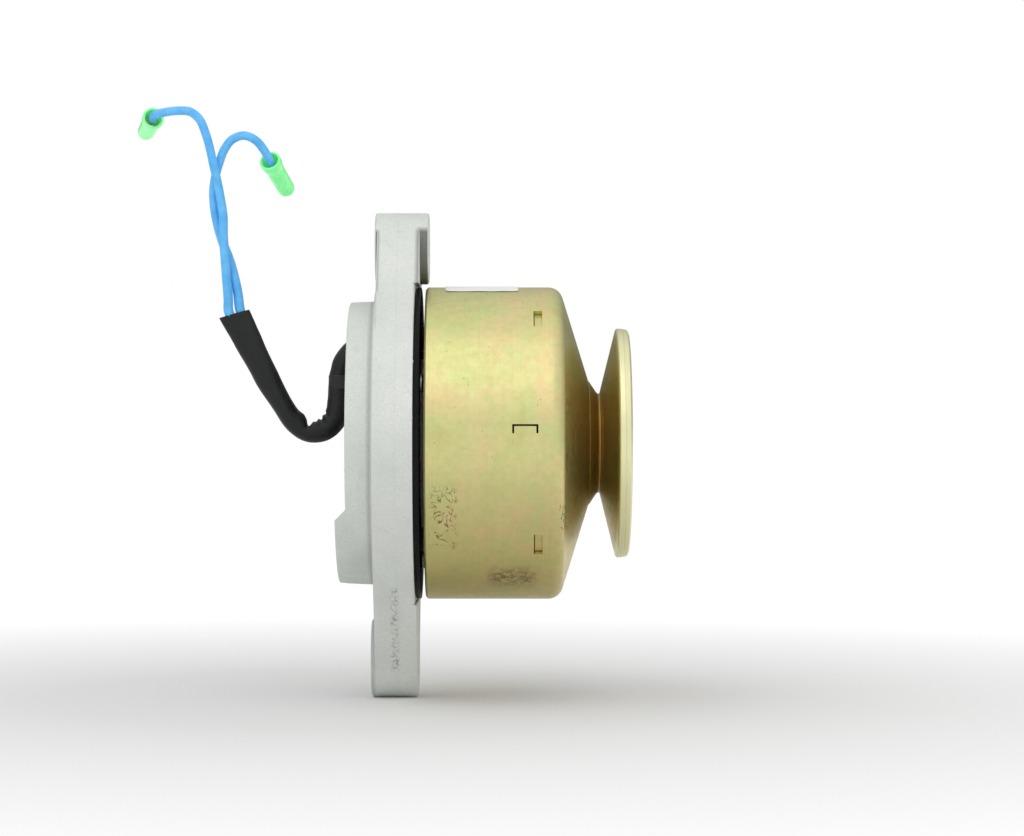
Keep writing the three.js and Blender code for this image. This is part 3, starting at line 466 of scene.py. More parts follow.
class Look:
    """A node material with one Principled shader, built up by short calls."""

    def __init__(self, name, **settings):
        self.material = bpy.data.materials.new(name)
        self.material.use_nodes = True
        self.tree = self.material.node_tree
        self.shader = self.tree.nodes["Principled BSDF"]
        for key, value in settings.items():
            self.shader.inputs[key.replace("_", " ")].default_value = value
        scale = self.node("VectorMath", self.node("TexCoord").outputs["Object"], operation="SCALE")
        scale.inputs["Scale"].default_value = 1 / MM
        self.place = scale.outputs["Vector"]

    def put(self, socket, value):
        if isinstance(value, bpy.types.NodeSocket):
            self.tree.links.new(value, socket)
        else:
            socket.default_value = value

    def node(self, kind, *values, **settings):
        """A node with its own settings, and with values in its first sockets."""
        made = self.tree.nodes.new("ShaderNode" + kind)
        for key, value in settings.items():
            setattr(made, key, value)
        for socket, value in zip(made.inputs, values):
            self.put(socket, value)
        return made

    def math(self, operation, a, b=0.0):
        return self.node("Math", a, b, operation=operation).outputs[0]

    def times(self, first, *others):
        for other in others:
            first = self.math("MULTIPLY", first, other)
        return first

    def hypot(self, a, b):
        return self.math("SQRT", self.math("ADD", self.times(a, a), self.times(b, b)))

    def split(self):
        return self.node("SeparateXYZ", self.place).outputs

    def join(self, x, y, z):
        return self.node("CombineXYZ", x, y, z).outputs[0]

    def noise(self, scale, detail=4.0, roughness=0.55, distortion=0.0, vector=None):
        """Noise whose scale is in features per millimetre."""
        made = self.node("TexNoise", vector or self.place, 0.0, scale, detail, roughness)
        made.inputs["Distortion"].default_value = distortion
        return made.outputs[0]

    def cells(self, scale):
        return self.node("TexVoronoi", self.place, 0.0, scale).outputs["Distance"]

    def remap(self, value, low, high, to_low=0.0, to_high=1.0):
        return self.node("MapRange", value, low, high, to_low, to_high).outputs[0]

    def patches(self, noise, low, high, most=1.0):
        """Where a noise, given by its own settings, is high."""
        return self.remap(self.noise(*noise), low, high, 0, most)

    def ramp(self, value, *stops):
        """A colour ramp from (position, (r, g, b)) stops."""
        made = self.node("ValToRGB", value)
        elements = made.color_ramp.elements
        while len(elements) < len(stops):
            elements.new(0.5)
        for element, (position, color) in zip(elements, stops):
            element.position = position
            element.color = (*color, 1)
        return made.outputs[0]

    def layers(self, color, *coats):
        """A colour under (share, colour) coats, the last one on top."""
        for share, coat in coats:
            made = self.node("Mix", data_type="RGBA")
            self.put(made.inputs["Factor"], share)
            sockets = [s for s in made.inputs if s.type == "RGBA"]
            for socket, value in zip(sockets, (color, coat)):
                self.put(socket, (*value, 1) if isinstance(value, tuple) else value)
            color = next(s for s in made.outputs if s.type == "RGBA")
        return color

    def radius(self):
        """Distance from the shaft's axis."""
        axis = self.split()
        return self.hypot(axis[1], axis[2])

    def within(self, low, high, soft):
        """A soft-edged box mask; None leaves a side open."""
        sides = []
        for axis, start, end in zip(self.split(), low, high):
            for edge, way in ((start, 1), (end, -1)):
                if edge is not None:
                    sides.append(self.remap(axis, edge, edge + way * soft))
        return self.times(*sides)

    def finish(self, color, roughness, *bumps):
        """Links a colour, a roughness as (source, least, most), and (height, depth in mm) bumps."""
        self.put(self.shader.inputs["Base Color"], color)
        if isinstance(roughness, tuple):
            source, least, most = roughness
            roughness = self.remap(source, 0.3, 0.7, least, most)
        self.put(self.shader.inputs["Roughness"], roughness)
        under = None
        for height, depth in bumps:
            made = self.node("Bump")
            self.put(made.inputs["Height"], height)
            made.inputs["Distance"].default_value = depth * MM
            if under:
                self.put(made.inputs["Normal"], under)
            under = made.outputs[0]
        if under:
            self.put(self.shader.inputs["Normal"], under)
        return self.material


# ------------------------------------------------------------------ materials

def cast_aluminium():
    look = Look("cast_aluminium", Metallic=0.35)
    grain = look.noise(1.6, 5, 0.7)
    fine = look.noise(5.5, 3, 0.6)
    pits = look.remap(look.cells(0.9), 0.0, 0.22)
    # Painted shade: darkens the corner where the rear rim steps out to the plate.
    step = look.times(look.within((-2.2, None, None), (0.5, None, None), 1.4),
                      look.remap(look.radius(), RIM_RADIUS - 1, RIM_RADIUS - 0.5, 0, 0.42))
    scar = look.times(look.within((5.6, None, -84), (9.4, -8, -51), 1),
                      look.patches((0.9, 6, 0.75), 0.5, 0.62, 0.75))
    color = look.layers(
        look.ramp(look.noise(0.05), (0.3, (0.66, 0.69, 0.655)), (0.5, (0.72, 0.75, 0.71)),
                  (0.72, (0.77, 0.79, 0.755))),
        (look.remap(grain, 0.42, 0.66, 0, 0.4), (0.55, 0.58, 0.555)),
        (look.remap(fine, 0.6, 0.72, 0, 0.5), (0.88, 0.9, 0.87)),
        (look.patches((0.11, 6, 0.6, 0.6), 0.6, 0.78, 0.35), (0.50, 0.51, 0.48)),
        # The last coat is painted shade on the stepped-back side strips of the upper lug.
        (step, (0.20, 0.21, 0.20)), (scar, (0.22, 0.20, 0.18)), (lug_painted_shade(look), (0.10, 0.10, 0.09)),
    )
    return look.finish(color, (grain, 0.5, 0.72), (pits, 0.06), (grain, 0.16), (fine, 0.07))


def lug_painted_shade(look):
    """Painted shade on the upper lug's sides, in the two stepped-back strips, and not on its faces.
    """
    axis = look.split()
    away = look.hypot(axis[1], look.math("SUBTRACT", axis[2], UPPER_LUG["z"]))
    side = look.remap(away, UPPER_LUG["radius"] - 0.8, UPPER_LUG["radius"] - 0.2, 0, 0.85)
    ends = look.math("MAXIMUM", look.within((14.3, None, 54), (None, None, 79.5), 2),
                     look.within((None, None, 54), (2, None, 78.5), 1.5))
    facing = look.node("SeparateXYZ", look.node("NewGeometry").outputs["True Normal"]).outputs[0]
    upright = look.remap(look.math("ABSOLUTE", facing), 0.3, 0.7, 1, 0)
    return look.times(side, ends, upright)


def yellow_chromate():
    """Zinc plate with a yellow passivation: straw, olive and rose clouds over turning marks."""
    look = Look("yellow_chromate", Metallic=1.0)
    axis = look.split()
    radius = look.radius()
    around = look.join(look.times(axis[0], 5), look.times(radius, 5), look.times(axis[1], 0.06))
    turning = look.noise(1.0, 4, 0.6, vector=around)
    drawn = look.noise(0.5, 4, 0.6, vector=look.join(look.times(axis[0], 0.12), axis[1], axis[2]))
    mottle = look.noise(0.35, 6, 0.65)
    speckle = look.noise(1.9, 3, 0.6)
    peach = look.times(look.within((57, None, 6), (66, None, None), 5),
                       look.remap(mottle, 0.35, 0.65, 0.25, 0.8))
    color = look.layers(
        look.ramp(look.noise(0.035, 3, 0.5, 0.5), (0.34, (0.64, 0.61, 0.26)),
                  (0.46, (0.69, 0.70, 0.31)), (0.56, (0.76, 0.68, 0.33)),
                  (0.68, (0.80, 0.64, 0.33))),
        (look.patches((0.06, 4, 0.6, 1.0), 0.5, 0.68, 0.6), (0.57, 0.70, 0.31)),
        (peach, (0.90, 0.66, 0.36)),
        (look.patches((0.2, 5, 0.7), 0.55, 0.72, 0.5), (0.86, 0.58, 0.36)),
        # Painted shade: the drum turns darker and browner towards its bottom.
        (look.times(look.remap(axis[2], 12, -56), 0.5), (0.52, 0.38, 0.13)),
        (look.remap(speckle, 0.6, 0.75, 0, 0.4), (0.48, 0.70, 0.40)),
        (look.remap(mottle, 0.35, 0.7, 0, 0.25), (0.48, 0.40, 0.15)),
        (look.remap(turning, 0.35, 0.7, 0, 0.16), (0.44, 0.36, 0.14)),
        (look.patches((0.14, 7, 0.75, 0.8), 0.66, 0.74, 0.5), (0.22, 0.15, 0.08)),
        (drum_marks(look), (0.16, 0.09, 0.05)),
        (flange_rim(look, radius), (0.90, 0.88, 0.58)),
        # Painted shade in the pulley groove, darkest at its bottom.
        (groove_shade(look, radius), (0.30, 0.17, 0.035)),
    )
    roughness = look.math("ADD", look.remap(mottle, 0.3, 0.75, 0.3, 0.44),
                          look.remap(drawn, 0.3, 0.7, -0.04, 0.05))
    return look.finish(color, roughness, (turning, 0.035), (drawn, 0.03), (speckle, 0.03))


def drum_marks(look):
    """Handling marks on one side of the drum: a scribble, a rusty patch and a few specks."""
    wander = look.math("SUBTRACT", look.noise(0.16, 3, 0.5, 2.2), 0.5)
    line = look.remap(look.math("ABSOLUTE", wander), 0.012, 0.026, 0.85, 0)
    scribble = look.times(line, look.patches((0.7, 3), 0.38, 0.46),
                          look.within((20, None, -38), (31, 0, -14), 2))
    smear = look.times(look.patches((0.5, 7, 0.75), 0.4, 0.56, 0.75),
                       look.within((40, None, -53), (60, 0, -43), 4))
    specks = look.times(look.patches((1.1, 3, 0.6), 0.53, 0.6, 0.9),
                        look.within((66, None, -31), (70.5, 0, -21), 1.2))
    spots = look.times(look.remap(look.cells(0.32), 0.06, 0.1, 0.6, 0),
                       look.patches((0.09, 2), 0.45, 0.6))
    marks = look.math("MAXIMUM", scribble, smear)
    return look.math("MAXIMUM", look.math("MAXIMUM", marks, specks), spots)


def flange_rim(look, radius):
    """The pulley flange's outer edge, which the colour makes paler."""
    return look.times(look.remap(radius, FLANGE_RADIUS - 3.4, FLANGE_RADIUS - 1),
                      look.remap(look.split()[0], NECK_X - 6, NECK_X - 5, 0, 0.7))


def groove_shade(look, radius):
    """Painted shade that darkens the pulley groove towards its bottom, with a brown tint."""
    front = look.remap(look.split()[0], DRUM_SHOULDER_X + 1, DRUM_SHOULDER_X + 3)
    rim = look.math("MINIMUM", 1.0, look.times(flange_rim(look, radius), 1.5))
    stops = ((0.0, 0.96), (0.12, 0.6), (0.32, 0.34), (0.8, 0.2), (1.0, 0.1))
    depth = look.ramp(look.remap(radius, 16, 56), *((at, (grey,) * 3) for at, grey in stops))
    return look.times(front, look.math("SUBTRACT", 1.0, rim), depth)


def black_paint():
    look = Look("black_paint", Specular_IOR_Level=0.08)
    peel = look.noise(1.2, 3)
    chips = look.patches((0.45, 8, 0.8, 0.6), 0.68, 0.71)
    look.put(look.shader.inputs["Metallic"], look.times(chips, 0.8))
    color = look.layers((0.006, 0.006, 0.007), (look.remap(peel, 0.4, 0.7), (0.011, 0.012, 0.013)),
                        (chips, (0.36, 0.36, 0.34)))
    return look.finish(color, (peel, 0.34, 0.5), (peel, 0.05))


def zinc_plate():
    look = Look("zinc_plate", Metallic=1.0)
    spangle = look.noise(0.7)
    color = look.layers((0.66, 0.68, 0.69),
                        (look.remap(spangle, 0.35, 0.7), (0.4752, 0.4896, 0.4968)),
                        (look.patches((0.35, 7, 0.75), 0.62, 0.74, 0.6), (0.28, 0.22, 0.15)))
    return look.finish(color, (spangle, 0.24, 0.42), (look.noise(3.5, 3), 0.03))


def ground_steel():
    look = Look("ground_steel", Metallic=1.0)
    around = look.join(look.times(look.split()[0], 9), look.times(look.radius(), 9), 0.0)
    rings = look.noise(1.0, 3, vector=around)
    color = look.layers((0.6, 0.61, 0.62), (look.patches((0.5, 5), 0.45, 0.7, 0.5), (0.42,) * 3))
    return look.finish(color, (rings, 0.16, 0.34), (rings, 0.02))


def laminations():
    look = Look("laminations", Metallic=0.8)
    sheets = look.math("PINGPONG", look.split()[0], 0.25)
    color = look.layers((0.16, 0.17, 0.18), (look.patches((0.8, 5), 0.35, 0.7), (0.3, 0.31, 0.32)),
                        (look.remap(sheets, 0.0, 0.05, 1, 0), (0.03, 0.03, 0.03)))
    return look.finish(color, (look.noise(1.5), 0.35, 0.6), (look.remap(sheets, 0.0, 0.08), 0.08))


def enamelled_copper():
    look = Look("enamelled_copper", Metallic=0.7, Coat_Weight=0.6, Coat_Roughness=0.12)
    tone = look.noise(0.6)
    color = look.ramp(tone, (0.35, (0.38, 0.10, 0.035)), (0.65, (0.58, 0.2, 0.07)))
    return look.finish(color, (tone, 0.25, 0.42), (look.noise(1.5, 3), 0.05))


def ferrite():
    look = Look("ferrite", Metallic=0.1)
    grain = look.noise(2.4, 5, 0.7)
    color = look.ramp(grain, (0.3, (0.035, 0.036, 0.04)), (0.7, (0.085, 0.086, 0.09)))
    return look.finish(color, (grain, 0.55, 0.8), (grain, 0.1))


def rubber():
    look = Look("rubber")
    grain = look.noise(2.2)
    dust = look.patches((0.5, 6, 0.7), 0.58, 0.75, 0.5)
    return look.finish(look.layers((0.014,) * 3, (dust, (0.06, 0.058, 0.054))),
                       (grain, 0.6, 0.82), (grain, 0.06))


def black_vinyl():
    look = Look("black_vinyl", Specular_IOR_Level=0.32)
    smear = look.noise(0.18, 5, 0.6, 0.5)
    color = look.layers(
        look.ramp(smear, (0.35, (0.005, 0.006, 0.006)), (0.7, (0.012, 0.014, 0.013))),
        (look.patches((0.9, 7, 0.75), 0.6, 0.74, 0.35), (0.06, 0.065, 0.06)))
    return look.finish(color, (smear, 0.36, 0.56), (look.noise(0.55, 3), 0.12),
                       (look.noise(2.8, 4, 0.6), 0.05))


def blue_insulation():
    look = Look("blue_insulation", Specular_IOR_Level=0.45, Subsurface_Weight=0.15,
                Subsurface_Radius=(0.3, 0.6, 1.0), Subsurface_Scale=0.0008)
    grain = look.noise(3.0, 3)
    color = look.layers(
        look.ramp(look.noise(0.22), (0.35, (0.09, 0.44, 0.88)), (0.65, (0.15, 0.54, 0.96))),
        (look.patches((0.8, 7, 0.75), 0.62, 0.74, 0.4), (0.06, 0.27, 0.60)))
    return look.finish(color, (grain, 0.34, 0.5), (grain, 0.03))


def green_vinyl():
    """A translucent vinyl; a faint glow stands for the light that comes through it."""
    look = Look("green_vinyl", Emission_Color=(0.2, 1, 0.3, 1), Emission_Strength=0.16)
    ripple = look.noise(0.5, 2)
    color = look.ramp(look.noise(0.3, 3), (0.35, (0.20, 0.97, 0.30)), (0.65, (0.34, 1.0, 0.42)))
    return look.finish(color, (ripple, 0.2, 0.34), (ripple, 0.05))


def brass():
    look = Look("brass", Metallic=1.0)
    tone = look.noise(0.9, 5)
    color = look.ramp(tone, (0.35, (0.55, 0.36, 0.12)), (0.65, (0.74, 0.54, 0.22)))
    return look.finish(color, (tone, 0.22, 0.4), (tone, 0.02))


def label_paper():
    look = Look("label_paper", Specular_IOR_Level=0.4)
    fibre = look.noise(3.2, 5, 0.7)
    age = look.patches((0.12, 5), 0.5, 0.75, 0.5)
    return look.finish(look.layers((0.86, 0.86, 0.84), (age, (0.76, 0.75, 0.70))),
                       (fibre, 0.5, 0.66), (fibre, 0.03))


def floor_paper():
    """Pale paper near the part that brightens to the backdrop's white farther away."""
    look = Look("floor_paper", Specular_IOR_Level=0.1, Emission_Color=(1, 1, 1, 1))
    fibre = look.noise(0.8)
    axis = look.split()
    share = look.remap(look.hypot(axis[0], axis[1]), 120, 460)
    look.put(look.shader.inputs["Emission Strength"], share)
    color = look.layers((0.79,) * 3, (look.remap(fibre, 0.3, 0.7), (0.82,) * 3),
                        (share, (0, 0, 0)))
    return look.finish(color, (fibre, 0.7, 0.85))


LOOKS = {
    "casting": cast_aluminium(), "black_steel": black_paint(), "zinc": zinc_plate(),
    "chromate": yellow_chromate(), "bright_steel": ground_steel(), "rubber": rubber(),
    "black_vinyl": black_vinyl(), "blue_vinyl": blue_insulation(), "green_vinyl": green_vinyl(),
    "brass": brass(), "label": label_paper(),
}


# ------------------------------------------------------------------ lead

def ring_at(bm, centre, across, deep, half_across, half_deep, bulge=None):
    ring = []
    for i in range(SLEEVE_SEGMENTS):
        angle = math.tau * i / SLEEVE_SEGMENTS
        extra = bulge(angle) if bulge else 0.0
        a = (half_across + extra) * math.cos(angle)
        b = (half_deep + extra) * math.sin(angle)
        ring.append(bm.verts.new(centre + (across * a + deep * b) * MM))
    return ring


def blend_stations(stations, share):
    """Smooth values between (share, value, ...) stations."""
    for low, high in zip(stations, stations[1:]):
        if share <= high[0]:
            t = (share - low[0]) / (high[0] - low[0])
            t = t * t * (3 - 2 * t)
            return [a + (b - a) * t for a, b in zip(low[1:], high[1:])]
    return list(stations[-1][1:])


# Half width in the lead's plane and half depth across it, along the sleeve.
SLEEVE_STATIONS = [(0, 4.3, 4.3), (0.28, 4.3, 4.3), (0.36, 4.0, 4.5), (0.42, 4.3, 4.2),
                   (0.52, 4.1, 4.4), (0.60, 3.75, 4.7), (0.68, 3.9, 4.5), (0.80, 4.55, 3.9),
                   (0.92, 5.2, 3.1), (1.0, 5.75, 2.5)]
MOUTH_SLANT = -0.2
SLEEVE_WALL = 0.55
SLEEVE_SEGMENTS = 48

# Distances along the sleeve, in millimetres, of the marks that its bends leave.
FOLD_AT = 70
LUMP_AT = 75.5
PUCKERS_AT = 62
CLIP_FOLD_AT = 40


def sleeve():
    """A soft vinyl sleeve that folds where it doubles back and is pressed flat at its mouth."""
    line = along_route(SLEEVE_ROUTE, 9)
    total = length_of(line)
    deep = Vector((0, -1, 0))
    bm = bmesh.new()
    done = 0.0
    outer = []
    places = []
    for i, point in enumerate(line):
        if i:
            done += (point - line[i - 1]).length
        share = done / total
        way = (line[min(i + 1, len(line) - 1)] - line[max(i - 1, 0)]).normalized()
        lean = max(0.0, (share - 0.9) / 0.1) * MOUTH_SLANT
        across = way.cross(deep).normalized()
        across = (across + way * lean).normalized()
        half_across, half_deep = blend_stations(SLEEVE_STATIONS, share)
        distance = done / MM

        def near(place, width):
            return math.exp(-((distance - place) / width) ** 2)

        def bulge(angle):
            inside = max(0.0, math.cos(angle))
            fold = near(FOLD_AT, 1.7) * inside ** 1.5
            lump = near(LUMP_AT, 2.6) * inside ** 2
            puckers = math.sin(distance * 1.5) * near(PUCKERS_AT, 6) * inside
            dents = noise.noise(Vector((distance * 0.09, math.cos(angle), math.sin(angle))))
            return (0.28 * dents + 0.45 * puckers - 1.9 * fold + 0.8 * lump
                    - 0.35 * near(CLIP_FOLD_AT, 1.6))

        outer.append(ring_at(bm, point, across, deep, half_across, half_deep, bulge))
        places.append((point, across, half_across, half_deep))
    skin(bm, outer)
    inner = [ring_at(bm, point, across, deep, half_across - SLEEVE_WALL, half_deep - SLEEVE_WALL)
             for point, across, half_across, half_deep in places[-1:-22:-1]]
    bridge(bm, outer[-1], inner[0])
    skin(bm, inner)
    bm.faces.new(inner[-1])
    bm.faces.new(outer[0])
    made = piece(mesh_object(bm), "sleeve", "bracket", "black_vinyl", "lead_sleeve",
                 weighted=False)


def wire(number, route, connector):
    """An insulated wire that starts a little way down in the sleeve's mouth."""
    hidden = Vector(SLEEVE_ROUTE[-2]).lerp(Vector(SLEEVE_ROUTE[-1]), 0.35)
    hidden += (Vector(route[0]) - Vector(SLEEVE_ROUTE[-1])) * 0.5
    line = along_route([hidden, *route], 10)
    data = bpy.data.curves.new(f"wire_{number}", "CURVE")
    data.dimensions = "3D"
    data.bevel_depth = WIRE_DIAMETER / 2 * MM
    data.bevel_resolution = 7
    data.use_fill_caps = True
    spline = data.splines.new("POLY")
    spline.points.add(len(line) - 1)
    for target, point in zip(spline.points, line):
        target.co = (*point, 1)
    for i, target in enumerate(spline.points):
        target.radius = 1 + 0.15 * max(0.0, 1 - 2.2 * i / len(line))
    spline.use_smooth = True
    data.materials.append(LOOKS["blue_vinyl"])
    made = add_object(f"wire_{number}", data)
    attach(made, "bracket")
    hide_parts(f"lead_wire_{number}")


def terminal(number, route):
    """A translucent sleeve with a wider collar, over a rolled bullet socket."""
    end = Vector(route[-1])
    way = (end - Vector(route[-2])).normalized()
    place = (Matrix.Translation(end - way * COLLAR_DEPTH * MM)
             @ Vector((1, 0, 0)).rotation_difference(way).to_matrix().to_4x4())
    shell = turned([
        (0, 3.15, 0.3), (0, 4.0, 0.35), (2.8, 3.95, 0.5), (COLLAR_DEPTH, 3.4, 0.8),
        (TERMINAL_LENGTH - 1.2, 3.2, 0.4), (TERMINAL_LENGTH, 2.9, 0.3),
        (TERMINAL_LENGTH, 2.5, 0.2), (COLLAR_DEPTH + 0.4, 2.5, 0.4), (COLLAR_DEPTH - 1, 3.1, 0.4),
    ], 56, place)
    shell = piece(shell, f"terminal_sleeve_{number}_shell", "bracket", "green_vinyl",
                  f"terminal_sleeve_{number}")
    socket = turned([
        (5, 1.65, 0.1), (5, 2.1, 0.2), (7.4, 2.1, 0.3), (7.8, 1.9, 0.3), (9.4, 1.9, 0.3),
        (9.9, 2.2, 0.3), (TERMINAL_LENGTH - 1.6, 2.25, 0.3), (TERMINAL_LENGTH - 1, 2.3, 0.15),
        (TERMINAL_LENGTH - 1, 1.95, 0.15), (9.9, 1.85),
    ], 40, place)
    seam = moved(block((9, 1.2, -0.12), (TERMINAL_LENGTH, 2.8, 0.12)), place)
    socket = piece(carved(socket, seam), f"bullet_socket_{number}_rolled", "bracket", "brass",
                   f"bullet_socket_{number}")
    return [shell, socket]


# ------------------------------------------------------------------ bracket casting

DUST_SCREWS = [polar(43, angle) for angle in (30, 150, 270)]
CORE_SCREWS = [polar(27, 22.5 + 90 * i) for i in range(4)]


def flank_angle(lug):
    """The flanks touch a lug's round end and a circle just inside the plate's edge."""
    return math.degrees(math.asin((FLANK_CIRCLE - lug["radius"]) / lug["z"]))


def flank_y(lug, height):
    """How far out a lug's flank is at a distance from the shaft's axis."""
    lean = math.radians(flank_angle(lug))
    return (FLANK_CIRCLE - height * math.sin(lean)) / math.cos(lean)


def lug_outline(lug, grow=0.0):
    """A lug that points up: its round end, and straight flanks that spread to the plate's edge."""
    lean = flank_angle(lug)
    return [*arc((0, 0), LUG_FOOT_RADIUS, 180 - lean, lean, 40), polar(FLANK_CIRCLE + grow, lean),
            *arc((0, lug["z"]), lug["radius"] + grow, lean, 180 - lean, 48),
            polar(FLANK_CIRCLE + grow, 180 - lean)]


def raised_outline(lug):
    """The part of a lug beyond the dust plate, which can stand proud of the plate's face."""
    lean = flank_angle(lug)
    bottom = DRUM_RADIUS + 0.6
    reach = flank_y(lug, bottom)
    return [(-reach, bottom), (reach, bottom),
            *arc((0, lug["z"]), lug["radius"], lean, 180 - lean, 48)]


def upside_down(outline):
    return [(-y, -z) for y, z in outline]


def burr(points, size, seed):
    """Small torn lumps of metal along a line, as a trimmed casting has."""
    rng = random.Random(seed)
    lumps = []
    for point in points:
        bm = bmesh.new()
        bmesh.ops.create_icosphere(bm, subdivisions=2, radius=size * MM)
        offset = Vector([rng.uniform(-9, 9) for _ in range(3)])
        for vertex in bm.verts:
            ripple = noise.noise(vertex.co / MM / size * 0.9 + offset)
            vertex.co *= 1 + 0.5 * ripple
        stretch = Matrix.Diagonal((rng.uniform(0.5, 0.9), 0.35, rng.uniform(0.6, 1.3), 1))
        jitter = Vector([rng.uniform(-0.3, 0.3) for _ in range(3)]) * size
        bm.transform(shift(*(Vector(point) + jitter)) @ stretch)
        lumps.append(mesh_object(bm))
    return lumps


def on_flank(lug, x, z):
    """A point on the -Y flank of a lug."""
    return (x, -flank_y(lug, abs(z)), z)


def casting_shell():
    rear = REAR_BEARING_X
    return turned([
        (REAR_BOSS_END, BEARING_SEAT, 0.6), (REAR_BOSS_END, REAR_BOSS_RADIUS, 1.2),
        (FLOOR_REAR, REAR_BOSS_RADIUS + DRAFT, 2.2),
        (FLOOR_REAR, RIM_RADIUS - RIM_WALL - DRAFT, 2.6),
        (RIM_REAR, RIM_RADIUS - RIM_WALL, 0.9), (RIM_REAR, RIM_RADIUS - DRAFT, 0.9),
        (0, RIM_RADIUS, 1.2), (0, PLATE_RADIUS, 0.9),
        (PLATE_FRONT, PLATE_RADIUS, 0.45), (PLATE_FRONT, STATOR_LAND_RADIUS, 1.6),
        (STACK_REAR, STATOR_LAND_RADIUS, 0.5), (STACK_REAR, FRONT_BOSS_RADIUS, 0.8),
        (FRONT_BOSS_END, FRONT_BOSS_RADIUS, 0.8), (FRONT_BOSS_END, BEARING_SEAT, 0.4),
        (FRONT_BEARING_X, BEARING_SEAT), (FRONT_BEARING_X, BEARING_SHOULDER, 0.3),
        (rear + BEARING_WIDTH, BEARING_SHOULDER, 0.3), (rear + BEARING_WIDTH, BEARING_SEAT),
        (rear - 0.3, BEARING_SEAT), (rear - 0.3, BEARING_SEAT + 1),
        (rear - 1.7, BEARING_SEAT + 1), (rear - 1.7, BEARING_SEAT),
    ])


def casting_lugs():
    shapes = []
    for lug, turn in ((UPPER_LUG, list), (LOWER_LUG, upside_down)):
        boss = circle((0, lug["z"]), lug["radius"] + 0.02, 96)
        shapes += [
            prism(turn(lug_outline(lug)), *lug["web"], 0.8),
            prism(turn(raised_outline(lug)), PLATE_FRONT - 2, lug["raised"], 0.7),
            prism(turn(boss), lug["rear"], lug["front"], 0.9),
        ]
    return shapes


def parting_line():
    """The faint ridge that the two halves of the die leave round the plate and lugs."""
    low, high = PARTING_X - 0.3, PARTING_X + 0.3
    height = 0.09
    return [
        turned([(low, PLATE_RADIUS - 1), (low + 0.15, PLATE_RADIUS + height),
                (high - 0.15, PLATE_RADIUS + height), (high, PLATE_RADIUS - 1)]),
        prism(lug_outline(UPPER_LUG, height), low, high, 0.14, 1),
        prism(upside_down(lug_outline(LOWER_LUG, height)), low, high, 0.14, 1),
    ]


def rear_pad():
    """The thick lower part of the rear rim, which stands proud and has a sloping upper end."""
    ring = turned([
        (PAD_REAR, PAD_INNER_RADIUS, 0.9), (PAD_REAR, RIM_RADIUS - 2 * DRAFT, 0.7),
        (RIM_REAR, RIM_RADIUS - DRAFT + 0.02), (FLOOR_REAR + 1, RIM_RADIUS - DRAFT),
        (FLOOR_REAR + 1, PAD_INNER_RADIUS),
    ])
    rise = RIM_REAR - PAD_REAR
    side = [(PAD_REAR - 1, PAD_TOP - rise - 1, 0), (RIM_REAR + 0.4, PAD_TOP + 0.4, 1.2),
            (FLOOR_REAR + 2, PAD_TOP, 0), (FLOOR_REAR + 2, -70, 0), (PAD_REAR - 1, -70, 0)]
    to_y = Matrix(((1, 0, 0, 0), (0, 0, -1, 0), (0, 1, 0, 0), (0, 0, 0, 1)))
    wedge = prism(eased(side, True), -70, 70, matrix=to_y)
    return combine(ring, [wedge], "INTERSECT")


def rear_ribs():
    ribs = []
    for i in range(RIB_COUNT):
        section = [(RIB_REAR, -1.55, 0.9), (FLOOR_REAR + 1, -2.1), (FLOOR_REAR + 1, 2.1),
                   (RIB_REAR, 1.55, 0.9)]
        to_radius = Matrix(((1, 0, 0, 0), (0, 0, 1, 0), (0, -1, 0, 0), (0, 0, 0, 1)))
        rib = prism(eased(section, True), 21, RIM_RADIUS - 4, matrix=to_radius)
        ribs.append(moved(rib, about_x(i * 360 / RIB_COUNT)))
    return ribs


def casting():
    clip_foot = CLIP_HIGH.x
    post = turned([(clip_foot, 0), (clip_foot, 4.5, 0.5), (FLOOR_REAR - 1, 5.0, 1),
                   (FLOOR_REAR + 1, 8), (FLOOR_REAR + 1, 0)], SMALL, shift(0, *CLIP_SCREW))
    feet = [turned([(PLATE_FRONT - 1, 0), (PLATE_FRONT - 1, 5), (DUST_LOW.x + 1, 5, 0.3),
                    (DUST_LOW.x + 1, 0)], SMALL, shift(0, *place)) for place in DUST_SCREWS]
    burrs = [
        *burr([on_flank(LOWER_LUG, 6 + 0.28 * i, -53.2 - 0.6 * i) for i in range(8)], 0.7, 3),
        *burr([on_flank(LOWER_LUG, PARTING_X, -61 - 1.6 * i) for i in range(14)], 0.45, 5),
        *burr([(RIM_REAR + 0.3, -RIM_RADIUS + 1.2, -8.6)], 0.6, 8),
        *burr([(PLATE_FRONT - 0.1, -49.6, 29.3), (PLATE_FRONT - 0.1, -PLATE_RADIUS, 9.2)], 0.4, 2),
        *burr([on_flank(UPPER_LUG, PARTING_X + 0.5 * i, 77.3) for i in range(8)], 0.3, 4),
    ]
    shell = joined(casting_shell(), *casting_lugs(), rear_pad(), *rear_ribs(), post, *feet,
                   *parting_line(), *burrs)
    cutters = [
        rod(REAR_BOSS_END - 2, FRONT_BOSS_END + 2, BEARING_SHOULDER, segments=SMOOTH),
        rod(REAR_BOSS_END - 2, REAR_BEARING_X + BEARING_WIDTH, BEARING_SEAT, segments=SMOOTH),
        *(hole_cutter((0, way * lug["z"]), lug["hole"], lug["rear"], lug["front"], 0.7)
          for lug, way in ((UPPER_LUG, 1), (LOWER_LUG, -1))),
        rod(FLOOR_REAR - 5, PLATE_FRONT + 1, 6.45, (LEAD_Y, LEAD_EXIT_Z)),
        rod(clip_foot - 1, clip_foot + 11, 1.9, CLIP_SCREW),
        *(rod(9.8, DUST_LOW.x + 2, 2.1, place, 24) for place in DUST_SCREWS),
        *(rod(17, STACK_REAR + 1, 2.7, place, 24) for place in CORE_SCREWS),
    ]
    piece(carved(shell, *cutters), "casting", "bracket", "casting", "bracket_casting")


# ------------------------------------------------------------------ dust plate and screws

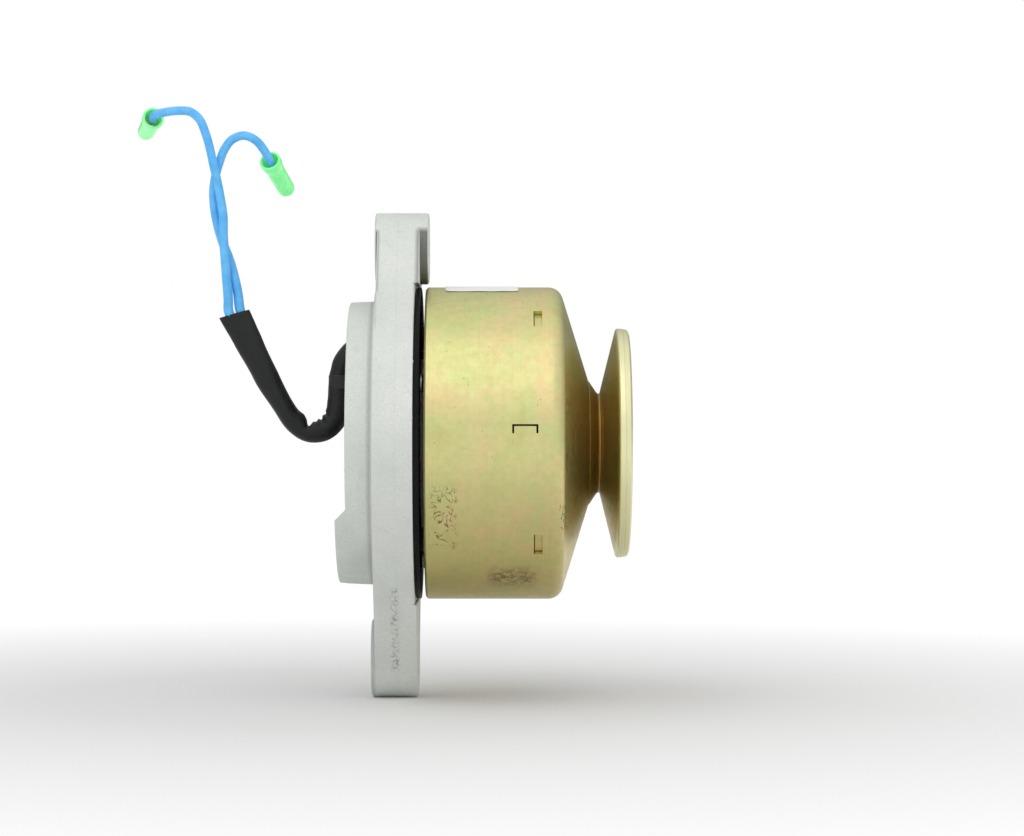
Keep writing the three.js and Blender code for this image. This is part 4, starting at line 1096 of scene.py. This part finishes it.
def dust_plate():
    rear, front = DUST_LOW.x + 1, DUST_HIGH.x
    edge = DUST_LOW.x
    plate = turned([
        (rear, DUST_BORE, 0.2), (rear, PLATE_RADIUS - 1.1, 0.3), (edge, PLATE_RADIUS - 1.1, 0.15),
        (edge, PLATE_RADIUS - 0.4, 0.15), (edge + 0.5, PLATE_RADIUS, 0.4),
        (front, PLATE_RADIUS, 0.9), (front, DUST_BORE, 0.25),
    ])
    cutters = [hole_cutter(place, 2.3, rear, front, 0.1) for place in DUST_SCREWS]
    cutters.append(hole_cutter((LEAD_Y, LEAD_EXIT_Z), 5.3, rear, front, 0.1))
    piece(carved(plate, *cutters), "dust_shield", "bracket", "black_steel", "dust_plate")


def cross_recess(depth, reach):
    """A tapered cross for a screw head whose top is at x = 0."""
    bars = []
    for turn in (0, 90):
        bar = prism([(-reach, -0.45), (reach, -0.45), (reach, 0.45), (-reach, 0.45)],
                    -depth, 1, 0.2, 2)
        bars.append(moved(bar, about_x(turn)))
    return joined(*bars)


def pan_screw(name, node, seat_x, centre, shank, length, head, height, turn, facing=1):
    """A cross-head screw whose head faces +X, or -X when facing is -1."""
    body = turned([
        (-length, 0), (-length, shank - 0.4, 0.2), (-length + 0.8, shank, 0.2), (0, shank),
        (0, head, 0.25), (height * 0.55, head, 0.9), (height, head * 0.55, 1.0), (height, 0),
    ], 48)
    recess = moved(cross_recess(height * 0.75, head * 0.5), shift(height))
    body = carved(body, recess)
    place = shift(seat_x, *centre) @ about_x(turn)
    if facing < 0:
        place = place @ Matrix.Rotation(math.pi, 4, "Z")
    piece(moved(body, place), name, "bracket", "zinc", node)


# ------------------------------------------------------------------ rotor

def rotor_angle(degrees):
    """The rotor's own angles run from -Y, where the drum faces sideways, towards +Z."""
    return 180 - degrees


def cone_x(radius):
    return DRUM_SHOULDER_X + (DRUM_RADIUS - radius) * math.tan(CONE_ANGLE)


def drum_bend(depth, steps):
    """The shoulder between the drum's side and its cone, or a surface a depth inside it."""
    radius = DRUM_RADIUS - depth
    corner = DRUM_CORNER - depth
    shoulder = cone_x(radius) - depth / math.cos(CONE_ANGLE)
    centre_x = shoulder - corner * math.tan((math.pi / 2 - CONE_ANGLE) / 2)
    return arc((centre_x, radius - corner), corner, 90, math.degrees(CONE_ANGLE), steps)


def drum():
    inner_radius = DRUM_RADIUS - DRUM_WALL
    inner_seam = DRUM_RADIUS - ((WEB_REAR + DRUM_WALL / math.cos(CONE_ANGLE) - DRUM_SHOULDER_X)
                                / math.tan(CONE_ANGLE))
    shell = turned([
        (DRUM_RIM_X, inner_radius, 0.3), (DRUM_RIM_X, DRUM_RADIUS - 0.8, 0.15),
        (DRUM_RIM_X + 0.8, DRUM_RADIUS, 0.3), *drum_bend(0, 14), (WEB_FRONT, SEAM_RADIUS, 0.4),
        (WEB_FRONT, WEB_BORE), (WEB_REAR, WEB_BORE), (WEB_REAR, inner_seam, 2),
        *reversed(drum_bend(DRUM_WALL, 6)),
    ], 240)
    low, high = inner_radius - 1, DRUM_RADIUS + 1
    wide, narrow = WIDE_TAB, NARROW_TAB
    half = wide["width"] / 2
    slit = wide["slit"]
    cutters = []
    tongues = []
    for i in range(MAGNET_COUNT):
        turn = about_x(rotor_angle(wide["angle"] + 90 * i))
        for box in (((wide["from"], low, -half), (wide["to"], high, slit - half)),
                    ((wide["from"], low, -half), (wide["from"] + slit, high, half)),
                    ((wide["to"] - slit, low, -half), (wide["to"], high, half))):
            cutters.append(moved(block(*box), turn))
        turn = about_x(rotor_angle(narrow["angle"] + 90 * i))
        reach = narrow["length"] / 2
        cutters.append(moved(block((narrow["from"], low, -reach), (narrow["to"], high, reach)),
                             turn))
        top, gap = DRUM_RADIUS - narrow["drop"], narrow["gap"]
        tongue = block((narrow["from"] + gap, top - narrow["thick"], gap - reach),
                       (narrow["to"] + 0.5, top, reach - gap), 0.2)
        tongues.append(moved(tongue, turn))
    shell = joined(carved(shell, *cutters), *tongues)
    piece(shell, "drum", "rotor", "chromate", "rotor_drum")


def flange():
    def flank_x(radius):
        return NECK_X + (radius - NECK_RADIUS) * FLANK_SLOPE

    rim = flank_x(FLANGE_RADIUS)
    line = (rim + FLANGE_FRONT) / 2
    made = turned([
        (WEB_FRONT, WEB_BORE), (WEB_FRONT, SEAM_RADIUS, 0.4), (NECK_X - 0.8, NECK_RADIUS + 0.5, 1.5),
        (NECK_X + 0.2, NECK_RADIUS + 0.2, 0.6), (rim - 0.1, FLANGE_RADIUS - 0.5, 0.5),
        (rim + 0.4, FLANGE_RADIUS, 0.4), (line - 0.25, FLANGE_RADIUS - 0.05, 0.1),
        (line, FLANGE_RADIUS - 0.3, 0.1), (line + 0.25, FLANGE_RADIUS - 0.15, 0.1),
        (FLANGE_FRONT - 0.6, FLANGE_RADIUS - 0.5, 0.5), (FLANGE_FRONT, FLANGE_RADIUS - 1.6, 0.6),
        (FLANGE_FRONT, FLANGE_RADIUS - 2.8, 0.6),
        (flank_x(FLANGE_RADIUS - 5) + FLANGE_WALL, FLANGE_RADIUS - 5, 2),
        (flank_x(19) + FLANGE_WALL, 19, 2), (flank_x(16) + FLANGE_WALL - 0.8, NUT_RECESS_RADIUS, 1),
        (WEB_FRONT + FLANGE_WEB, NUT_RECESS_RADIUS, 0.6), (WEB_FRONT + FLANGE_WEB, WEB_BORE),
    ], 240)
    piece(made, "pulley_rim", "rotor", "chromate", "pulley_flange")


def label():
    """A blank paper label with round corners, bent round the drum."""
    start, end = math.radians(77), math.radians(106)
    across = (LABEL_LOW.x, LABEL_HIGH.x)
    radius = DRUM_RADIUS + 0.2
    half_length = (across[1] - across[0]) / 2
    half_arc = (end - start) / 2 * radius
    corner = 1.6
    steps = 40
    bm = bmesh.new()
    grid = []
    for i in range(steps + 1):
        s = -half_arc + 2 * half_arc * i / steps
        past = max(0.0, abs(s) - (half_arc - corner))
        reach = half_length - (corner - math.sqrt(max(0.0, corner ** 2 - past ** 2)))
        angle = (start + end) / 2 + s / radius
        row = []
        for j in range(steps + 1):
            x = (across[0] + across[1]) / 2 - reach + 2 * reach * j / steps
            lift = 0.05 * noise.noise(Vector((x * 0.2, s * 0.2, 3)))
            r = (radius + 0.05 + lift) * MM
            row.append(bm.verts.new((x * MM, r * math.cos(angle), r * math.sin(angle))))
        grid.append(row)
    for first, second in zip(grid, grid[1:]):
        for j in range(steps):
            bm.faces.new([first[j], first[j + 1], second[j + 1], second[j]])
    made = mesh_object(bm)
    thick = made.modifiers.new("thickness", "SOLIDIFY")
    thick.thickness = 0.12 * MM
    thick.offset = 0
    piece(made, "label", "rotor", "label", "drum_label", weighted=False)


def hexagon_nut():
    start, end = NUT_LOW.x, NUT_HIGH.x
    flats = NUT_HIGH.z
    corner = flats / math.cos(math.radians(30))
    body = prism(circle((0, 0), corner, 6), start, end)
    dome = turned([(start, 0), (start, corner - 1.2, 0.3), (start + 0.8, corner + 0.2),
                   (end - 0.9, corner + 0.2), (end, corner - 1.6, 0.3), (end, 0)], MEDIUM)
    body = combine(body, [dome], "INTERSECT")
    bore = hole_cutter((0, 0), 6.1, start, end, 0.6, MEDIUM)
    piece(carved(body, bore), "hexagon_nut", "rotor", "zinc", "pulley_nut")


def washers():
    plain = turned([(WASHER_LOW.x, 6.2, 0.15), (WASHER_LOW.x, WASHER_HIGH.z, 0.3),
                    (WASHER_HIGH.x, WASHER_HIGH.z, 0.4), (WASHER_HIGH.x, 6.2, 0.2)], MEDIUM)
    piece(plain, "flat_washer", "rotor", "zinc", "pulley_washer")
    low, high = SPRING_LOW.x, SPRING_HIGH.x
    spring = turned([(low, 6.2, 0.2), (low, 10.2, 0.35), (high, 10.2, 0.35), (high, 6.2, 0.2)],
                    MEDIUM)
    slit = moved(block((-3, -0.6, 5), (3, 0.6, 12)), Matrix.Rotation(math.radians(25), 4, "Z"))
    slit = moved(slit, shift((low + high) / 2))
    piece(carved(spring, slit), "split_washer", "rotor", "zinc", "spring_washer")


def shaft():
    """The rotor's shaft: a head behind the rear bearing, and a thread that ends in the nut."""
    rear, front = SHAFT_LOW.x, SHAFT_HIGH.x
    thread = WEB_FRONT + FLANGE_WEB - 1
    ridges = []
    x = thread + 0.6
    while x < front - 1.6:
        ridges += [(x, 5.35), (x + 0.75, 6.0)]
        x += 1.5
    made = turned([
        (rear + 1.6, 0), (rear, 2.4, 0.2), (rear, 9.1, 0.1), (rear + 0.6, 9.6, 0.2),
        (REAR_BEARING_X, 9.6), (REAR_BEARING_X, 7.5), (thread - 0.4, 7.5, 0.2), (thread, 5.8),
        *ridges, (front - 0.9, 6.0, 0.1), (front, 5.1, 0.2), (front, 2.2, 0.2), (front - 1.6, 0),
    ], MEDIUM)
    key = block((55.8, -2.1, 4.8), (70.2, 2.1, 9.6))
    piece(carved(made, key), "shaft", "rotor", "bright_steel", "rotor_shaft")


# ------------------------------------------------------------------ bearings and lead fittings

def bearing(side, x):
    """Two rings whose raceways leave room for the balls between them, and the outer shield."""
    middle, end = x + BEARING_WIDTH / 2, x + BEARING_WIDTH

    def ring(wall, groove, lip):
        ends = [(x, lip, 0.2), (x, wall, 0.5), (end, wall, 0.5), (end, lip, 0.2)]
        return ends + [(middle + 2.6, lip), (middle + 1.3, groove), (middle - 1.3, groove),
                       (middle - 2.6, lip)]

    seal_low, seal_high = (corner.x for corner in span(f"{side}_bearing_seal"))
    seal = [(seal_low, 10.72, 0.1), (seal_low, 11.6, 0.2), (seal_low + 0.2, 12.0, 0.2),
            (seal_low + 0.2, 13.2, 0.2), (seal_low, 13.6, 0.2), (seal_low, 14.45, 0.1),
            (seal_high, 14.45, 0.1), (seal_high, 10.72, 0.1)]
    for name, profile, body, slot, node in (
            ("outer_race", ring(17.5, 15.8, 14.7), "bracket", "bright_steel", "outer_ring"),
            ("inner_race", ring(7.55, 9.2, 10.3), "rotor", "bright_steel", "inner_ring"),
            ("seal", seal, "bracket", "rubber", "seal")):
        piece(turned(profile, MEDIUM), f"{side}_{name}", body, slot, f"{side}_bearing_{node}")


def snap_ring():
    low, high = (end.x for end in span("snap_ring"))
    arcs = [*arc((0, 0), BEARING_SEAT + 0.8, 115, 425, 96),
            *arc((0, 0), BEARING_SEAT - 1.6, 425, 115, 72)]
    ring = prism(arcs, low, high, 0.15, 2)
    centres = [polar(BEARING_SEAT - 2.4, angle) for angle in (120, 60)]
    ring = joined(ring, *[prism(circle(c, 1.9, 32), low, high, 0.15, 2) for c in centres])
    ring = carved(ring, *[prism(circle(c, 0.9, 24), low - 1, high + 1) for c in centres])
    piece(ring, "retaining_ring", "bracket", "black_steel", "snap_ring")


def grommet():
    rear, front = FLOOR_REAR, PLATE_FRONT
    made = turned([
        (rear - 2.8, 4.75, 0.5), (rear - 2.8, 6.0, 0.8), (rear - 1.4, 7.4, 0.8),
        (rear - 0.1, 7.4, 0.2), (rear - 0.1, 6.1, 0.2), (front + 0.1, 6.1, 0.2),
        (front + 0.1, 7.0, 0.2), (front + 0.9, 6.6, 0.5), (front + 0.9, 4.75, 0.2),
    ], 64, shift(0, LEAD_Y, LEAD_EXIT_Z))
    piece(made, "grommet", "bracket", "rubber", "lead_grommet")


def clip():
    """A coated strap round the sleeve, with a flat foot on the casting's post."""
    foot = CLIP_HIGH.x
    thick = 0.8
    inner = foot - (CLIP_LOW.x + CLIP_HIGH.x - thick) / 2
    centre = (CLIP_LOW.x + inner + thick, LEAD_Y)
    inner = foot - centre[0]
    outer = inner + thick
    screw_y = CLIP_SCREW[0]
    outline = [*arc(centre, inner, 28, 332, 60), *arc(centre, outer, 332, 62, 60),
               (foot - thick, screw_y - 4.4), (foot - thick, screw_y + 4), (foot, screw_y + 4)]
    strap = prism(outline, CLIP_LOW.z, CLIP_HIGH.z, 0.25, 2, Matrix.Identity(4))
    hole = rod(foot - 5, foot + 5, 2.1, CLIP_SCREW)
    piece(carved(strap, hole), "clip", "bracket", "rubber", "lead_clip")


# ------------------------------------------------------------------ build

make_camera()
make_light()

sleeve()
for number, route in ((1, WIRE_ROUTE_1), (2, WIRE_ROUTE_2)):
    wire(number, route, terminal(number, route))

casting()
dust_plate()
for i, place in enumerate(DUST_SCREWS, 1):
    pan_screw(f"dust_screw_{i}", f"dust_plate_screw_{i}", DUST_HIGH.x, place, 1.9, 6.5, 3.4, 2,
              20 + 37 * i)
for i, place in enumerate(CORE_SCREWS, 1):
    pan_screw(f"core_screw_{i}", f"stator_screw_{i}", STACK_FRONT, place, 2.4, 32, 3.9, 3,
              29 * i - 18)
pan_screw("clip_screw", "lead_clip_screw", CLIP_HIGH.x - 0.8, CLIP_SCREW, 1.7, 9, 3.6, 2.2, 25,
          facing=-1)

drum()
flange()
label()
hexagon_nut()
washers()
shaft()
bearing("front", FRONT_BEARING_X)
bearing("rear", REAR_BEARING_X)
snap_ring()
grommet()
clip()

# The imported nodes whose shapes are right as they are, and their looks.
KEPT = (
    (laminations(), ["stator_core"]),
    (enamelled_copper(), [f"stator_coil_{i}" for i in range(1, 9)]),
    (ferrite(), [f"magnet_{i}" for i in range(1, 5)]),
    (LOOKS["bright_steel"], ["rotor_hub", "shaft_key", "bearing_spacer", "front_bearing_balls",
                             "rear_bearing_balls", *[f"hub_rivet_{i}" for i in range(1, 5)]]),
)
for look, nodes in KEPT:
    for node in nodes:
        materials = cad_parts[node].data.materials
        materials.clear()
        materials.append(look)


def floor(look):
    """A pale sheet that lies under the part."""
    bm = bmesh.new()
    level = cad_box[0].z - FLOOR_GAP * MM
    corners = [(-6, -6), (6, -6), (6, 12), (-6, 12)]
    bm.faces.new([bm.verts.new((x, y, level)) for x, y in corners])
    made = mesh_object(bm, "floor")
    made.data.materials.append(look)


floor(floor_paper())
bpy.context.scene.view_settings.view_transform = "Standard"
